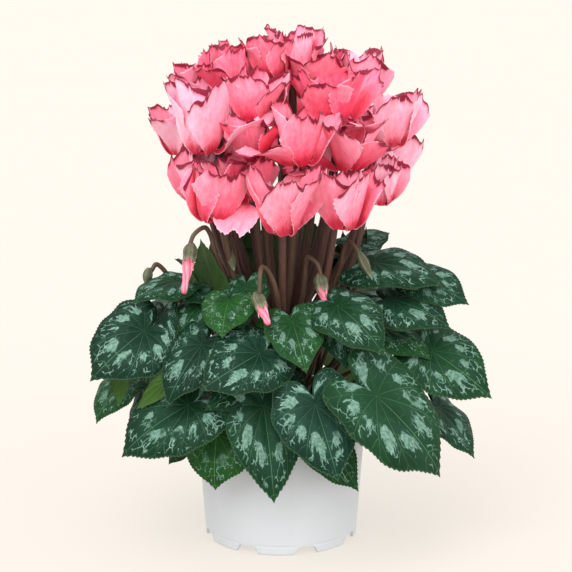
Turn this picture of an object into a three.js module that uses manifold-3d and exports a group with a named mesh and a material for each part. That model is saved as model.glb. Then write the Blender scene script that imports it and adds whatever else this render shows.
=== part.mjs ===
// A potted cyclamen: white plastic pot, potting soil, a tuber that carries the flower stalks,
// nodding blooms with swept-back frilled petals, hanging buds, and heart-shaped leaves in shoots.
// Millimetres, +Z up, origin at the centre of the pot's underside, front towards -Y.
import * as THREE from "three";
import { mergeVertices } from "three/addons/utils/BufferGeometryUtils.js";
import Module from "manifold-3d";

const wasm = await Module();
wasm.setup();

// ---------------------------------------------------------------- driving dimensions

const GAP = 0.3; // clearance between pieces that touch

const POT = {
  height: 110,
  baseRadius: 61.5,
  rimRadius: 71,
  wall: 1.8,
  bandHeight: 13, // the thicker band round the rim
  bandStep: 1.6, // how far the band stands out of the wall
  footHeight: 6.5,
  padRadius: 36, // the flat middle of the underside
  floor: 2.2,
  sides: 32,
  notches: 8,
  notchWidth: 15,
  notchTurn: 19, // degrees from the front to the first notch
  drainHoles: 4,
  drainRadius: 4,
  drainCircle: 48,
};

const SOIL = { top: 96, crown: 2, sides: 16, lumps: 0.9 };

const TUBER = { radius: 35, height: 30, middle: 90, sides: 12, rings: 6, lump: 1.5 };

const STALK = { radii: [2.1, 2.2, 2.3, 2.3, 2.1, 1.9, 2.2], sides: 4, rootSpread: 18 };
const PETIOLE = {
  radius: 1.5,
  sides: 4,
  rows: [0, 0.36, 0.72, 1],
  innerRing: 23.5,
  outerRing: 29,
  room: 4.6, // along the ring for each leaf stalk
  lowLeaf: 160, // leaves that join their stalk lower than this stand in the outer ring
};

const LEAF = { thickness: 1.0, ring: 0.55, wave: 2.2, fold: 0.1, arch: 0.2, toFront: 0.4 };
// Outline of a leaf: angle from the tip in degrees, distance from the stalk as a share of the length.
const LEAF_OUTLINE = [
  [0, 1.0],
  [18, 0.82],
  [41, 0.665],
  [72, 0.57],
  [105, 0.54],
  [137, 0.53],
  [162, 0.38],
  [180, 0.1],
];

const PETAL = {
  thickness: 0.8,
  length: 38,
  halfWidth: 13,
  innerShare: 0.55, // width of the halves beside the bloom's own stalk
  wrap: 30,
  frill: 2.4,
  // Rows of points up a petal: share of its length, width share, and how far its rear edge stands
  // out and its front edge in, so that the petals overlap from the front petal backwards.
  rows: { low: [0.36, 0.42, 1], middle: [0.7, 0.86, 1.8], top: [1, 1.1, 1.7] },
};
// Where a petal stands round its bloom, in degrees from the side that faces out of the plant.
const PETAL_TURNS = [-137, -70, 0, 70, 137];
const TUBE = { top: 6.5, radius: 4.4, mouth: 5.6, low: -2.2, halfBase: 22 };
const CALYX = { radius: 4.8, length: 5 };
const CROOK = { back: 12, top: 21 }; // how far the bent stalk stands behind and over a bloom

// Blooms: middle of the nose [x, y, z], size, lean out of the plant in degrees.
const BLOOMS = {
  low_left: [[-52, -64, 272], 1.05, 5],
  low_front: [[2, -84, 266], 1.15, 5],
  low_right: [[48, -68, 267], 1.02, 5],
  low_far_right: [[77, -38, 280], 0.92, 5],
  side_right: [[82, 14, 288], 1.05, 8],
  back_side_left: [[-60, -24, 276], 0.95, 6],
  low_inner: [[-25, -50, 285], 0.7, 3],
  mid_right: [[50, -50, 308], 0.8, 4],
  mid_front: [[15, -62, 315], 1.1, 5],
  mid_front_left: [[-20, -44, 315], 0.76, 2],
  big_left: [[-57, -42, 321], 1.22, 5],
  far_left: [[-79, 10, 312], 0.95, 6],
  upper_far_left: [[-68, -2, 350], 0.82, 5],
  upper_left: [[-41, -2, 355], 0.95, 2],
  upper_front_left: [[-19, -36, 343], 1.0, 2],
  upper_front_right: [[40, -34, 340], 1.1, 2],
  far_right: [[86, -14, 322], 1.0, 5],
  mid_far_right: [[55, -12, 314], 0.66, 4],
  upper_right: [[60, 10, 350], 1.0, 4],
  upper_middle: [[22, 2, 356], 0.82, 0],
  top_front: [[-6, -6, 372], 0.9, 0],
  top_back: [[13, 33, 366], 0.95, 2],
  top_left: [[-27, 36, 362], 0.95, 6],
  back_left: [[-58, 48, 310], 1.0, 8],
  back_low_left: [[-32, 70, 280], 1.1, 8],
  back_low_right: [[22, 76, 277], 1.1, 8],
  back_right: [[62, 54, 300], 1.1, 8],
  back_middle: [[0, 62, 328], 1.1, 6],
};

// Coloured buds: top of the bud [x, y, z], tip [x, y, z], highest point of the bent stalk.
const BUDS = {
  left: [[-69, -69, 245], [-74, -72, 215], [-58, -60, 264]],
  front: [[-16, -86, 211], [-9, -91, 195], [-18, -76, 236]],
  right: [[31, -53, 218], [34, -56, 203], [21, -46, 238]],
};
// Small green buds, closed in their calyx: top, tip and highest point of the stalk.
const GREEN_BUDS = [
  [[-41, -46, 240], [-36, -50, 228], [-40, -33, 252]],
  [[60, -44, 238], [70, -49, 222], [53, -36, 248]],
  [[-103, -29, 222], [-106, -32, 213], [-98, -25, 228]],
];

// Leaves: shoot, stalk end [x, y, z], tip [x, y, z], width share, roll in degrees.
const LEAVES = [
  ["front_low", [-13, -92, 132], [-5, -108, 62], 0.78, -8],
  ["front_small", [-49, -82, 107], [-51, -86, 64], 1.1, 0],
  ["front_heart", [26, -110, 138], [43, -122, 84], 1.05, 0],
  ["front_tucked", [26, -82, 110], [60, -82, 62], 0.7, 0],
  ["right_tucked", [84, -50, 141], [61, -84, 109], 0.85, 0],
  ["right_big", [72, -96, 141], [124, -80, 74], 0.95, 0],
  ["right_low", [125, -28, 112], [153, -46, 78], 1.05, 0],
  ["right_side", [118, -46, 163], [163, -60, 131], 1.05, 0],
  ["right_side", [80, -36, 180], [116, -54, 160], 1.0, 0],
  ["front_upper_right", [43, -70, 205], [77, -104, 177], 0.9, 0],
  ["front_upper", [9, -82, 195], [19, -112, 165], 0.9, 0],
  ["left_centre", [-16, -92, 173], [-58, -118, 153], 1.05, 0],
  ["left_low", [-60, -80, 177], [-86, -102, 136], 0.8, 0],
  ["left_low", [-70, -86, 131], [-122, -84, 91], 1.0, 0],
  ["left_side", [-105, -64, 184], [-144, -86, 152], 1.1, 0],
  ["left_fold", [-99, -42, 156], [-106, -60, 118], 0.65, 20],
  ["left_fold", [-92, -48, 192], [-86, -80, 160], 0.6, 10],
  ["left_far_low", [-123, -38, 137], [-145, -52, 108], 1.1, 0],
  ["front_upper_left", [-40, -72, 209], [-44, -98, 188], 1.15, 0],
  ["left_upright", [-52, -38, 208], [-60, -50, 252], 1.0, 160],
  ["left_upper", [-82, -42, 217], [-112, -66, 208], 0.95, 0],
  ["right_upper", [73, -30, 230], [124, -46, 217], 1.0, 0],
  ["right_curl", [88, -42, 203], [130, -60, 186], 1.05, 0],
  ["right_curl", [110, -28, 218], [143, -46, 198], 0.95, 10],
  ["back_upper_right", [60, 20, 236], [88, 42, 241], 0.9, 0],
];

// The back, which no front view shows, carries tiers of leaves at an even spacing:
// first and last direction in degrees from +X, count, stalk end and tip as [radius, height], width share.
const BACK_TIERS = [
  { from: 10, to: 174, count: 5, first: 1, joint: [96, 128], tip: [126, 72], width: 1.0 },
  { from: 8, to: 172, count: 5, first: 1, joint: [94, 188], tip: [150, 148], width: 0.9 },
  { from: 60, to: 128, count: 2, first: 2, joint: [74, 222], tip: [124, 208], width: 1.0 },
];

// ---------------------------------------------------------------- helpers

const vec = (x, y, z) => new THREE.Vector3(x, y, z);
const point = (list) => new THREE.Vector3().fromArray(list);
const rad = THREE.MathUtils.degToRad;
// An even draw between -1 and 1 for piece number i, the same on every run.
const swing = (i, k) => Math.sin(i * 2.39996 * (k + 1) + 1.7 * k);

// A closed geometry as a solid that can be joined and cut.
function solidOf(geometry) {
  const bare = geometry.index ? geometry.toNonIndexed() : geometry.clone();
  bare.deleteAttribute("normal");
  bare.deleteAttribute("uv");
  const merged = mergeVertices(bare, 1e-4);
  return new wasm.Manifold(
    new wasm.Mesh({
      numProp: 3,
      vertProperties: merged.attributes.position.array,
      triVerts: new Uint32Array(merged.index.array),
    }),
  );
}

function geometryOf(solid) {
  const mesh = solid.getMesh();
  const geometry = new THREE.BufferGeometry();
  geometry.setAttribute("position", new THREE.BufferAttribute(mesh.vertProperties, 3));
  geometry.setIndex(new THREE.BufferAttribute(mesh.triVerts, 1));
  return geometry.toNonIndexed();
}

const join = (solids) => solids.reduce((whole, next) => whole.add(next));

// The largest body of a solid; loose scraps are dropped.
function largest(solid) {
  return solid.decompose().reduce((best, next) => (next.volume() > best.volume() ? next : best));
}

function boxesMeet(a, b) {
  const one = a.boundingBox();
  const two = b.boundingBox();
  return [0, 1, 2].every((k) => one.min[k] <= two.max[k] && two.min[k] <= one.max[k]);
}

// A closed thin sheet: points are { at, up } with up out of its upper face, faces name them
// anticlockwise seen from that side, and edge is the outline, anticlockwise too.
function sheet(points, faces, edge, thickness) {
  const upper = points.map((p) => p.at.clone().addScaledVector(p.up, thickness / 2));
  const lower = points.map((p) => p.at.clone().addScaledVector(p.up, -thickness / 2));
  const n = points.length;
  const triangles = [];
  for (const [a, b, c] of faces) {
    triangles.push(a, b, c);
    triangles.push(a + n, c + n, b + n);
  }
  edge.forEach((a, i) => {
    const b = edge[(i + 1) % edge.length];
    triangles.push(a, a + n, b + n);
    triangles.push(a, b + n, b);
  });
  return solidOf(meshOf([...upper, ...lower], triangles));
}

function meshOf(points, triangles) {
  const geometry = new THREE.BufferGeometry().setFromPoints(points);
  geometry.setIndex(triangles);
  return geometry;
}

// Triangles between an inner and an outer ring of points, each given as [number, angle] and
// sorted by angle. They face the side from which the angles run anticlockwise.
function stitch(inner, outer) {
  const triangles = [];
  const turn = 2 * Math.PI;
  const at = (ring, i) => ring[i % ring.length][1] + (i >= ring.length ? turn : 0);
  let [i, j] = [0, 0];
  while (i < inner.length || j < outer.length) {
    const a = inner[i % inner.length][0];
    const b = outer[j % outer.length][0];
    const stepInner = at(inner, i + 1) + at(inner, i);
    const stepOuter = at(outer, j + 1) + at(outer, j);
    if (j >= outer.length || (i < inner.length && stepInner < stepOuter)) {
      triangles.push([a, b, inner[(i + 1) % inner.length][0]]);
      i++;
    } else {
      triangles.push([a, b, outer[(j + 1) % outer.length][0]]);
      j++;
    }
  }
  return triangles;
}

// A round stem along a curve: a capped cylinder bent so that its rows stand at the given shares
// of the curve. across is a direction that the curve stays square to.
function stem(curve, shares, sides, radiusAt, across) {
  const rows = shares.length - 1;
  const geometry = new THREE.CylinderGeometry(1, 1, 1, sides, rows);
  const position = geometry.attributes.position;
  for (let i = 0; i < position.count; i++) {
    const row = Math.round((position.getY(i) + 0.5) * rows);
    const share = shares[row];
    const along = curve.getTangent(share);
    const side = across.clone().addScaledVector(along, -across.dot(along)).normalize();
    const other = new THREE.Vector3().crossVectors(side, along);
    const radius = radiusAt(share);
    const p = curve.getPoint(share);
    p.addScaledVector(side, position.getX(i) * radius);
    p.addScaledVector(other, position.getZ(i) * radius);
    position.setXYZ(i, p.x, p.y, p.z);
  }
  const made = solidOf(geometry);
  return made.volume() < 0 ? solidOf(flipped(geometry)) : made;
}

function flipped(geometry) {
  const bare = geometry.toNonIndexed();
  const p = bare.attributes.position;
  for (let i = 0; i < p.count; i += 3) {
    const b = vec(0, 0, 0).fromBufferAttribute(p, i + 1);
    const c = vec(0, 0, 0).fromBufferAttribute(p, i + 2);
    p.setXYZ(i + 1, c.x, c.y, c.z);
    p.setXYZ(i + 2, b.x, b.y, b.z);
  }
  return bare;
}

function lathe(profile, sides) {
  const points = profile.map(([r, z]) => new THREE.Vector2(r, z));
  return new THREE.LatheGeometry(points, sides).rotateX(Math.PI / 2);
}

// ---------------------------------------------------------------- pot, soil, tuber

function potWallRadius(z) {
  const slope = (POT.rimRadius - POT.bandStep - POT.baseRadius) / POT.height;
  return POT.baseRadius + slope * z;
}

function pot() {
  const { height, wall, footHeight, padRadius, floor, bandHeight, bandStep } = POT;
  const band = height - bandHeight;
  const footInner = POT.baseRadius - wall - 0.6;
  const profile = [
    [0, 0],
    [padRadius, 0],
    [padRadius + 4, footHeight],
    [footInner, footHeight],
    [footInner, 0],
    [POT.baseRadius, 0],
    [potWallRadius(band), band],
    [potWallRadius(band) + bandStep, band + 1],
    [POT.rimRadius, height],
    [POT.rimRadius - wall, height],
    [potWallRadius(band) - wall, band],
    [potWallRadius(footHeight) - wall - 1, footHeight + floor],
    [padRadius + 2.5, footHeight + floor],
    [padRadius - 1.5, floor],
    [0, floor],
  ];
  let made = solidOf(lathe(profile, POT.sides));
  if (made.volume() < 0) made = solidOf(lathe(profile.reverse(), POT.sides));
  for (let i = 0; i < POT.notches; i++) {
    const turn = rad(-90 + POT.notchTurn + (i * 360) / POT.notches);
    const notch = new THREE.CylinderGeometry(
      POT.notchWidth * 0.5,
      POT.notchWidth * 0.72,
      POT.footHeight * 2,
      4,
      1,
    );
    notch.rotateY(Math.PI / 4).rotateX(Math.PI / 2);
    notch.translate(POT.baseRadius, 0, -0.2).rotateZ(turn);
    made = made.subtract(solidOf(notch));
  }
  for (let i = 0; i < POT.drainHoles; i++) {
    const hole = new THREE.CylinderGeometry(POT.drainRadius, POT.drainRadius, 20, 10);
    hole.rotateX(Math.PI / 2).translate(POT.drainCircle, 0, footHeight);
    hole.rotateZ(rad((i * 360) / POT.drainHoles + 45));
    made = made.subtract(solidOf(hole));
  }
  return made;
}

// The soil fills the pot and leaves a plain bowl for the tuber.
function soil() {
  const inner = (z) => potWallRadius(z) - POT.wall - GAP - 0.4;
  const low = POT.footHeight + POT.floor + GAP;
  const bowl = (z) => TUBER.radius * Math.sqrt(Math.max(1 - ((z - TUBER.middle) * 2 / TUBER.height) ** 2, 0)) + 2;
  const profile = [
    [0, low],
    [inner(low) - 1.2, low],
    [inner(SOIL.top), SOIL.top - 1],
    [inner(SOIL.top) - 9, SOIL.top + 1],
    [48, SOIL.top + SOIL.crown],
    [38, SOIL.top + SOIL.crown],
    [bowl(SOIL.top) + 1, SOIL.top + SOIL.crown - 1],
    [bowl(90), 89],
    [bowl(82), 80],
    [20, TUBER.middle - TUBER.height / 2 - GAP],
    [0, TUBER.middle - TUBER.height / 2 - GAP],
  ];
  const geometry = lathe(profile, SOIL.sides);
  const position = geometry.attributes.position;
  for (let i = 0; i < position.count; i++) {
    const [x, y, z] = [position.getX(i), position.getY(i), position.getZ(i)];
    if (z < SOIL.top + 0.5) continue;
    position.setZ(i, z + SOIL.lumps * Math.sin(x * 0.31 + 1) * Math.sin(y * 0.27 + 2));
  }
  const made = solidOf(geometry);
  return made.volume() < 0 ? solidOf(flipped(geometry)) : made;
}

function tuber(skin = 0) {
  const geometry = new THREE.SphereGeometry(1, TUBER.sides, TUBER.rings).rotateX(Math.PI / 2);
  const position = geometry.attributes.position;
  for (let i = 0; i < position.count; i++) {
    const [x, y, z] = [position.getX(i), position.getY(i), position.getZ(i)];
    const lump = 1 + (TUBER.lump / TUBER.radius) * Math.sin(x * 5 + 1) * Math.sin(y * 6 + 2) * (1 - z * z);
    const shrink = 1 - TUBER.lump / TUBER.radius;
    position.setXYZ(
      i,
      x * (TUBER.radius * lump * shrink + skin),
      y * (TUBER.radius * lump * shrink + skin),
      TUBER.middle + z * (TUBER.height / 2 + skin),
    );
  }
  return solidOf(geometry);
}

// Height of the tuber's top at a distance from the axis.
function tuberTop(radius) {
  return TUBER.middle + (TUBER.height / 2) * Math.sqrt(Math.max(1 - (radius / TUBER.radius) ** 2, 0));
}

// ---------------------------------------------------------------- leaves

// The frame of a leaf: along its midrib, across it, and out of its upper face. The face looks out
// of the plant and up, and in the front half it turns to the front, where the light came from.
function leafFrame(joint, tip, roll) {
  const along = tip.clone().sub(joint).normalize();
  const middle = joint.clone().lerp(tip, 0.5);
  const front = Math.min(Math.max(-middle.y / 60, 0), 1);
  const outward = vec(middle.x, middle.y, 0).normalize().multiplyScalar(0.6);
  const facing = outward.add(vec(0, -LEAF.toFront * front, 0.62));
  const up = facing.addScaledVector(along, -facing.dot(along)).normalize();
  up.applyAxisAngle(along, rad(roll));
  return { along, across: new THREE.Vector3().crossVectors(up, along), up };
}

// Height of a leaf's face over its joint's plane, for a point x along and y across.
function leafRise(x, y, length, angle, share, number) {
  const t = x / length;
  const arch = LEAF.arch * (1 + 0.5 * swing(number, 1)) * length * (t - t * t);
  const fold = LEAF.fold * (1 + 0.6 * swing(number, 2)) * Math.abs(y);
  const sides = -0.3 * length * (y / length) ** 2;
  const wave = LEAF.wave * share ** 2 * Math.sin(3 * angle + 2.5 * swing(number, 3)) * (1 - Math.max(t, 0));
  return arch + fold + sides + wave;
}

// A leaf in one piece: a fan of triangles round the joint, a ring and the outline make the
// blade's upper face, and its lower face runs into the stalk that comes down to the root.
function leaf({ joint, tip, width, roll, number }, root, spare) {
  const frame = leafFrame(joint, tip, roll);
  const length = joint.distanceTo(tip);
  const half = LEAF.thickness / 2 + spare;
  const points = [];
  const place = (degrees, reach, share, side) => {
    const angle = rad(degrees);
    const x = Math.cos(angle) * reach * length * share;
    const y = Math.sin(angle) * reach * length * share * width;
    const at = joint.clone();
    at.addScaledVector(frame.along, x + spare * Math.cos(angle) * share);
    at.addScaledVector(frame.across, y + spare * Math.sin(angle) * share);
    at.addScaledVector(frame.up, leafRise(x, y, length, angle, share, number) + side * half);
    points.push(at);
    return [points.length - 1, angle];
  };
  const mirrored = LEAF_OUTLINE.slice(1, -1)
    .reverse()
    .map(([degrees, reach]) => [360 - degrees, reach]);
  const outline = [...LEAF_OUTLINE, ...mirrored];
  const inner = outline.filter((_, i) => i % 2 === 1);
  const faces = [];
  const rings = [1, -1].map((side) => ({
    ring: inner.map((o) => place(...o, LEAF.ring, side)),
    edge: outline.map((o) => place(...o, 1, side)),
  }));
  const [upper, lower] = rings;
  const centre = place(0, 0, 0, 1)[0];
  upper.ring.forEach(([a], i) => faces.push([centre, a, upper.ring[(i + 1) % inner.length][0]]));
  faces.push(...stitch(upper.ring, upper.edge));
  faces.push(...stitch(lower.ring, lower.edge).map(([a, b, c]) => [a, c, b]));
  outline.forEach((_, i) => {
    const [a, b] = [upper.edge[i][0], upper.edge[(i + 1) % outline.length][0]];
    const [c, d] = [lower.edge[i][0], lower.edge[(i + 1) % outline.length][0]];
    faces.push([a, c, d], [a, d, b]);
  });

  const curve = petioleCurve(root, joint, frame);
  const sides = PETIOLE.sides;
  const across = new THREE.Vector3().crossVectors(vec(0, 0, 1), joint.clone().sub(root)).normalize();
  const thin = Math.min(PETIOLE.radius, 0.032 * length);
  const rows = PETIOLE.rows.map((share) => {
    const along = curve.getTangent(share);
    const side = across.clone().addScaledVector(along, -across.dot(along)).normalize();
    const other = new THREE.Vector3().crossVectors(side, along);
    const radius = PETIOLE.radius + (thin - PETIOLE.radius) * share + spare;
    return Array.from({ length: sides }, (_, k) => {
      const angle = (k * 2 * Math.PI) / sides;
      const at = curve.getPoint(share);
      at.addScaledVector(side, Math.cos(angle) * radius);
      at.addScaledVector(other, Math.sin(angle) * radius);
      if (share === 1) slideToFace(at, along, joint, frame.up, -half);
      points.push(at);
      return points.length - 1;
    });
  });
  for (let r = 0; r + 1 < rows.length; r++)
    for (let k = 0; k < sides; k++) {
      const [a, b] = [rows[r][k], rows[r][(k + 1) % sides]];
      const [c, d] = [rows[r + 1][k], rows[r + 1][(k + 1) % sides]];
      faces.push([a, c, d], [a, d, b]);
    }
  for (let k = 1; k + 1 < sides; k++) faces.push([rows[0][0], rows[0][k], rows[0][k + 1]]);

  const around = (number) => {
    const from = points[number].clone().sub(joint);
    const angle = Math.atan2(from.dot(frame.across), from.dot(frame.along));
    return [number, angle < 0 ? angle + 2 * Math.PI : angle];
  };
  const end = rows[rows.length - 1].map(around).sort((a, b) => a[1] - b[1]);
  faces.push(...stitch(end, lower.ring).map(([a, b, c]) => [a, c, b]));
  return solidOf(meshOf(points, faces.flat()));
}

// Slides a point along a direction until it lies at a height over a plane.
function slideToFace(at, along, origin, normal, height) {
  const rise = at.clone().sub(origin).dot(normal);
  at.addScaledVector(along, (height - rise) / along.dot(normal));
}

// The way of a leaf's stalk from the tuber's shoulder to the blade's underside.
function petioleCurve(root, joint, frame) {
  const rise = joint.distanceTo(root);
  const leave = root.clone().add(vec(root.x * 0.4, root.y * 0.4, rise * 0.36));
  const arrive = joint.clone();
  arrive.addScaledVector(frame.along, -rise * 0.12);
  arrive.addScaledVector(frame.up, -rise * 0.22);
  return new THREE.CubicBezierCurve3(root, leave, arrive, joint);
}

// Every leaf with its shoot, the listed ones and then the tiers at the back.
function allLeaves() {
  const leaves = LEAVES.map(([shoot, joint, tip, width, roll]) => ({
    shoot,
    joint: point(joint),
    tip: point(tip),
    width,
    roll,
  }));
  for (const tier of BACK_TIERS)
    for (let i = 0; i < tier.count; i++) {
      const turn = tier.from + ((tier.to - tier.from) * i) / (tier.count - 1);
      const at = ([radius, height], sway) => {
        const angle = rad(turn + sway);
        return vec(radius * Math.cos(angle), radius * Math.sin(angle), height);
      };
      leaves.push({
        shoot: "back_" + (tier.first + i),
        joint: at(tier.joint, 0),
        tip: at(tier.tip, 5 * swing(i, 4)),
        width: tier.width,
        roll: 6 * swing(i, 5),
      });
    }
  return leaves;
}

// Shoots in two rings on the tuber's shoulder, the low leaves' outside. Each stands in the
// direction of its leaves, pushed along the ring as far as its neighbours need room.
function shootsOf(leaves) {
  const names = [...new Set(leaves.map((leaf) => leaf.shoot))];
  const shoots = names.map((name) => {
    const own = leaves.filter((leaf) => leaf.shoot === name);
    const middle = own.reduce((sum, leaf) => sum.add(leaf.joint), vec(0, 0, 0));
    const turn = Math.atan2(middle.y, middle.x);
    return { name, own, turn, low: middle.z / own.length < PETIOLE.lowLeaf };
  });
  for (const low of [true, false]) {
    const radius = low ? PETIOLE.outerRing : PETIOLE.innerRing;
    const ring = shoots.filter((shoot) => shoot.low === low).sort((a, b) => a.turn - b.turn);
    makeRoom(ring, PETIOLE.room / radius);
    for (const shoot of ring) {
      const [c, s] = [Math.cos(shoot.turn), Math.sin(shoot.turn)];
      shoot.root = vec(c * radius, s * radius, tuberTop(radius) - 2);
      shoot.tangent = vec(-s, c, 0);
    }
  }
  return shoots;
}

// Pushes the shoots of a ring apart until each leaf stalk has its room.
function makeRoom(ring, room) {
  for (let pass = 0; pass < 60; pass++)
    ring.forEach((shoot, i) => {
      const next = ring[(i + 1) % ring.length];
      const over = i + 1 === ring.length ? 2 * Math.PI : 0;
      const need = (room * (shoot.own.length + next.own.length)) / 2;
      const short = Math.max(need - (next.turn + over - shoot.turn), 0);
      shoot.turn -= short / 2;
      next.turn += short / 2;
    });
}

// A shoot: one leaf, or a small foot on the tuber out of which several rise side by side. Its root
// lies a little inside the tuber, and the assembly cuts it off at the skin.
function shootSolid({ own, root, tangent }, spare) {
  if (own.length === 1) return leaf(own[0], root, spare);
  const knob = new THREE.BoxGeometry(5 + spare, 1.5 + 3.6 * own.length + spare, 5)
    .translate(0, 0, 2)
    .rotateZ(Math.atan2(-tangent.x, tangent.y))
    .translate(root.x, root.y, root.z);
  const turnOf = ({ joint }) => joint.dot(tangent) / Math.hypot(joint.x, joint.y);
  const order = [...own].sort((a, b) => turnOf(a) - turnOf(b));
  const leaves = order.map((one, i) => {
    const from = root.clone().addScaledVector(tangent, 3.6 * (i - (own.length - 1) / 2));
    return leaf(one, from.setZ(root.z + 1), spare);
  });
  return join([solidOf(knob), ...leaves]);
}

// ---------------------------------------------------------------- blooms and buds

// The frame of a bloom: origin at the nose, out of the plant, across, and up through the petals.
function bloomFrame([nose, , lean]) {
  const at = point(nose);
  const turn = Math.atan2(at.y, at.x);
  const up = vec(
    Math.sin(rad(lean)) * Math.cos(turn),
    Math.sin(rad(lean)) * Math.sin(turn),
    Math.cos(rad(lean)),
  );
  const across = new THREE.Vector3().crossVectors(up, vec(Math.cos(turn), Math.sin(turn), 0)).normalize();
  const out = new THREE.Vector3().crossVectors(across, up);
  return new THREE.Matrix4().makeBasis(out, across, up).setPosition(at);
}

// The points of one swept-back petal in its bloom's frame, two low down, three and three.
function petalPoints(degrees, size, k, number, spare) {
  const turn = rad(degrees + 2 * swing(number * 5 + k, 8));
  const flare = petalFlare(degrees, number, k);
  const length = PETAL.length * size;
  const curve = new THREE.CubicBezierCurve3(
    vec(4 * size, 0, size),
    vec(10 * size, 0, -8 * size),
    vec(12.5 * size, 0, 9 * size),
    vec(8 * size + length * Math.sin(flare), 0, length * Math.cos(flare)),
  );
  const inner = (u) => (Math.abs(degrees) > 90 && u * degrees > 0 ? PETAL.innerShare : 1);
  const outer = (u) => (degrees === 0 ? Math.abs(u) : u * Math.sign(degrees)) * inner(u);
  const wrap = PETAL.wrap * size;
  const place = ([share, width, stand], u, stretch) => {
    const p = curve.getPoint(share);
    const along = curve.getTangent(share);
    const across = u * inner(u) * (width * PETAL.halfWidth * size) + Math.sign(u) * spare;
    const angle = across / wrap;
    const normal = vec(along.z, 0, -along.x);
    const at = vec(p.x, wrap * Math.sin(angle), p.z);
    at.addScaledVector(normal, outer(u) * stand - wrap * (1 - Math.cos(angle)));
    at.addScaledVector(along, stretch);
    const up = normal.multiplyScalar(Math.cos(angle)).add(vec(0, Math.sin(angle), 0));
    return { at, up: up.normalize() };
  };
  const frill = (j) => PETAL.frill * size * swing(number * 5 + k + j * 11, 6) + spare;
  const { low, middle, top } = PETAL.rows;
  const points = [
    place(low, -1, 0),
    place(low, 1, 0),
    place(middle, -1, 0),
    place(middle, 0, 0),
    place(middle, 1, 0),
    place(top, -1, frill(0) - 3),
    place(top, -0.1, frill(1) + 2),
    place(top, 1, frill(2) - 2),
  ];
  const axis = vec(0, 0, 1);
  points.forEach((p) => [p.at, p.up].forEach((v) => v.applyAxisAngle(axis, turn)));
  return points;
}

// Petals flare more on the side that faces out of the plant, and stand close on the inner side.
function petalFlare(degrees, number, k) {
  return rad(22 + 7 * Math.cos(rad(degrees)) + 2 * swing(number * 5 + k, 7));
}

// A bloom in one thin piece: a closed short tube, then five petals folded back over it.
// Its upper side is the petals' outside, which is the inside of the tube.
function corolla(bloom, number, spare) {
  const [, size] = bloom;
  const ringPoint = (degrees, radius, z) => {
    const up = vec(-Math.cos(rad(degrees)), -Math.sin(rad(degrees)), -1);
    return { at: up.clone().multiplyScalar(-radius).setZ(z), up };
  };
  const count = PETAL_TURNS.length;
  const points = [];
  PETAL_TURNS.forEach((t) => points.push(ringPoint(t, TUBE.radius, TUBE.top)));
  for (const t of PETAL_TURNS)
    for (const side of [-1, 1]) {
      const foot = ringPoint(t + side * TUBE.halfBase, TUBE.mouth * size, TUBE.low);
      foot.up.multiply(vec(0.9, 0.9, 1.6)); // a mitre where the tube's wall turns up into a petal
      points.push(foot);
    }
  const faces = [];
  const edge = [];
  for (let k = 2; k < count; k++) faces.push([0, k, k - 1]);
  for (let k = 0; k < count; k++) {
    const [here, next] = [k, (k + 1) % count];
    const [left, right] = [count + 2 * k, count + 1 + 2 * k];
    const nextLeft = count + 2 * next;
    faces.push([here, right, left]);
    faces.push([here, next, nextLeft], [here, nextLeft, right]);
    const p = points.length;
    points.push(...petalPoints(PETAL_TURNS[k], size, k, number, spare));
    faces.push([left, right, p + 1], [left, p + 1, p]);
    faces.push([p, p + 3, p + 2], [p, p + 1, p + 3], [p + 1, p + 4, p + 3]);
    faces.push([p + 2, p + 3, p + 6], [p + 2, p + 6, p + 5]);
    faces.push([p + 3, p + 4, p + 6], [p + 4, p + 7, p + 6]);
    edge.unshift(right, p + 1, p + 4, p + 7, p + 6, p + 5, p + 2, p, left);
  }
  const made = sheet(points, faces, edge, PETAL.thickness + 2 * spare);
  return made.transform(bloomFrame(bloom).elements);
}

// A flower stalk with its bent top, which widens into the calyx.
function flowerStalk(bloom) {
  const frame = bloomFrame(bloom);
  const local = (x, y, z) => vec(x, y, z).applyMatrix4(frame);
  const under = local(-CROOK.back, 0, -8);
  const seat = TUBE.top + PETAL.thickness / 2 + GAP;
  const root = stalkRoot(under);
  const low = vec(root.x * 1.3, root.y * 1.3, root.z + (under.z - root.z) * 0.36);
  const middle = low.clone().lerp(local(-CROOK.back, 0, -55), 0.62);
  const curve = new THREE.CatmullRomCurve3([
    root,
    low,
    middle,
    under,
    local(-CROOK.back, 0, 11),
    local(-CROOK.back * 0.6, 0, CROOK.top),
    local(0, 0, seat + CALYX.length),
    local(0, 0, seat),
  ]);
  const radii = [...STALK.radii, CALYX.radius];
  const rows = radii.map((_, i) => i / (radii.length - 1));
  const across = local(0, 1, 0).sub(local(0, 0, 0));
  return stem(curve, rows, STALK.sides, (share) => radii[Math.round(share * (radii.length - 1))], across);
}

// Flower stalks rise from the middle of the tuber, the outer blooms' stalks round the inner ones'.
function stalkRoot(under) {
  const reach = Math.hypot(under.x, under.y);
  const radius = STALK.rootSpread * Math.min(reach / 80, 1);
  const scale = radius / Math.max(reach, 1);
  return vec(under.x * scale, under.y * scale, tuberTop(radius) - 3);
}

// The bent stalk of a bud, down to the bud's calyx.
function budStalk([top, , crest], calyxLength) {
  const [hang, high] = [point(top), point(crest)];
  const behind = high.clone().multiplyScalar(0.86).setZ(high.z - 24);
  const root = stalkRoot(behind);
  const curve = new THREE.CatmullRomCurve3([
    root,
    vec(behind.x * 0.45, behind.y * 0.45, (root.z + behind.z) / 2),
    behind,
    high,
    hang.clone().setZ(hang.z + calyxLength),
  ]);
  const across = new THREE.Vector3().crossVectors(vec(0, 0, 1), high.clone().sub(root)).normalize();
  const radius = (share) => 2 - 0.5 * share;
  return stem(curve, [0, 0.2, 0.4, 0.6, 0.7, 0.78, 0.86, 1], STALK.sides, radius, across);
}

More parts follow.
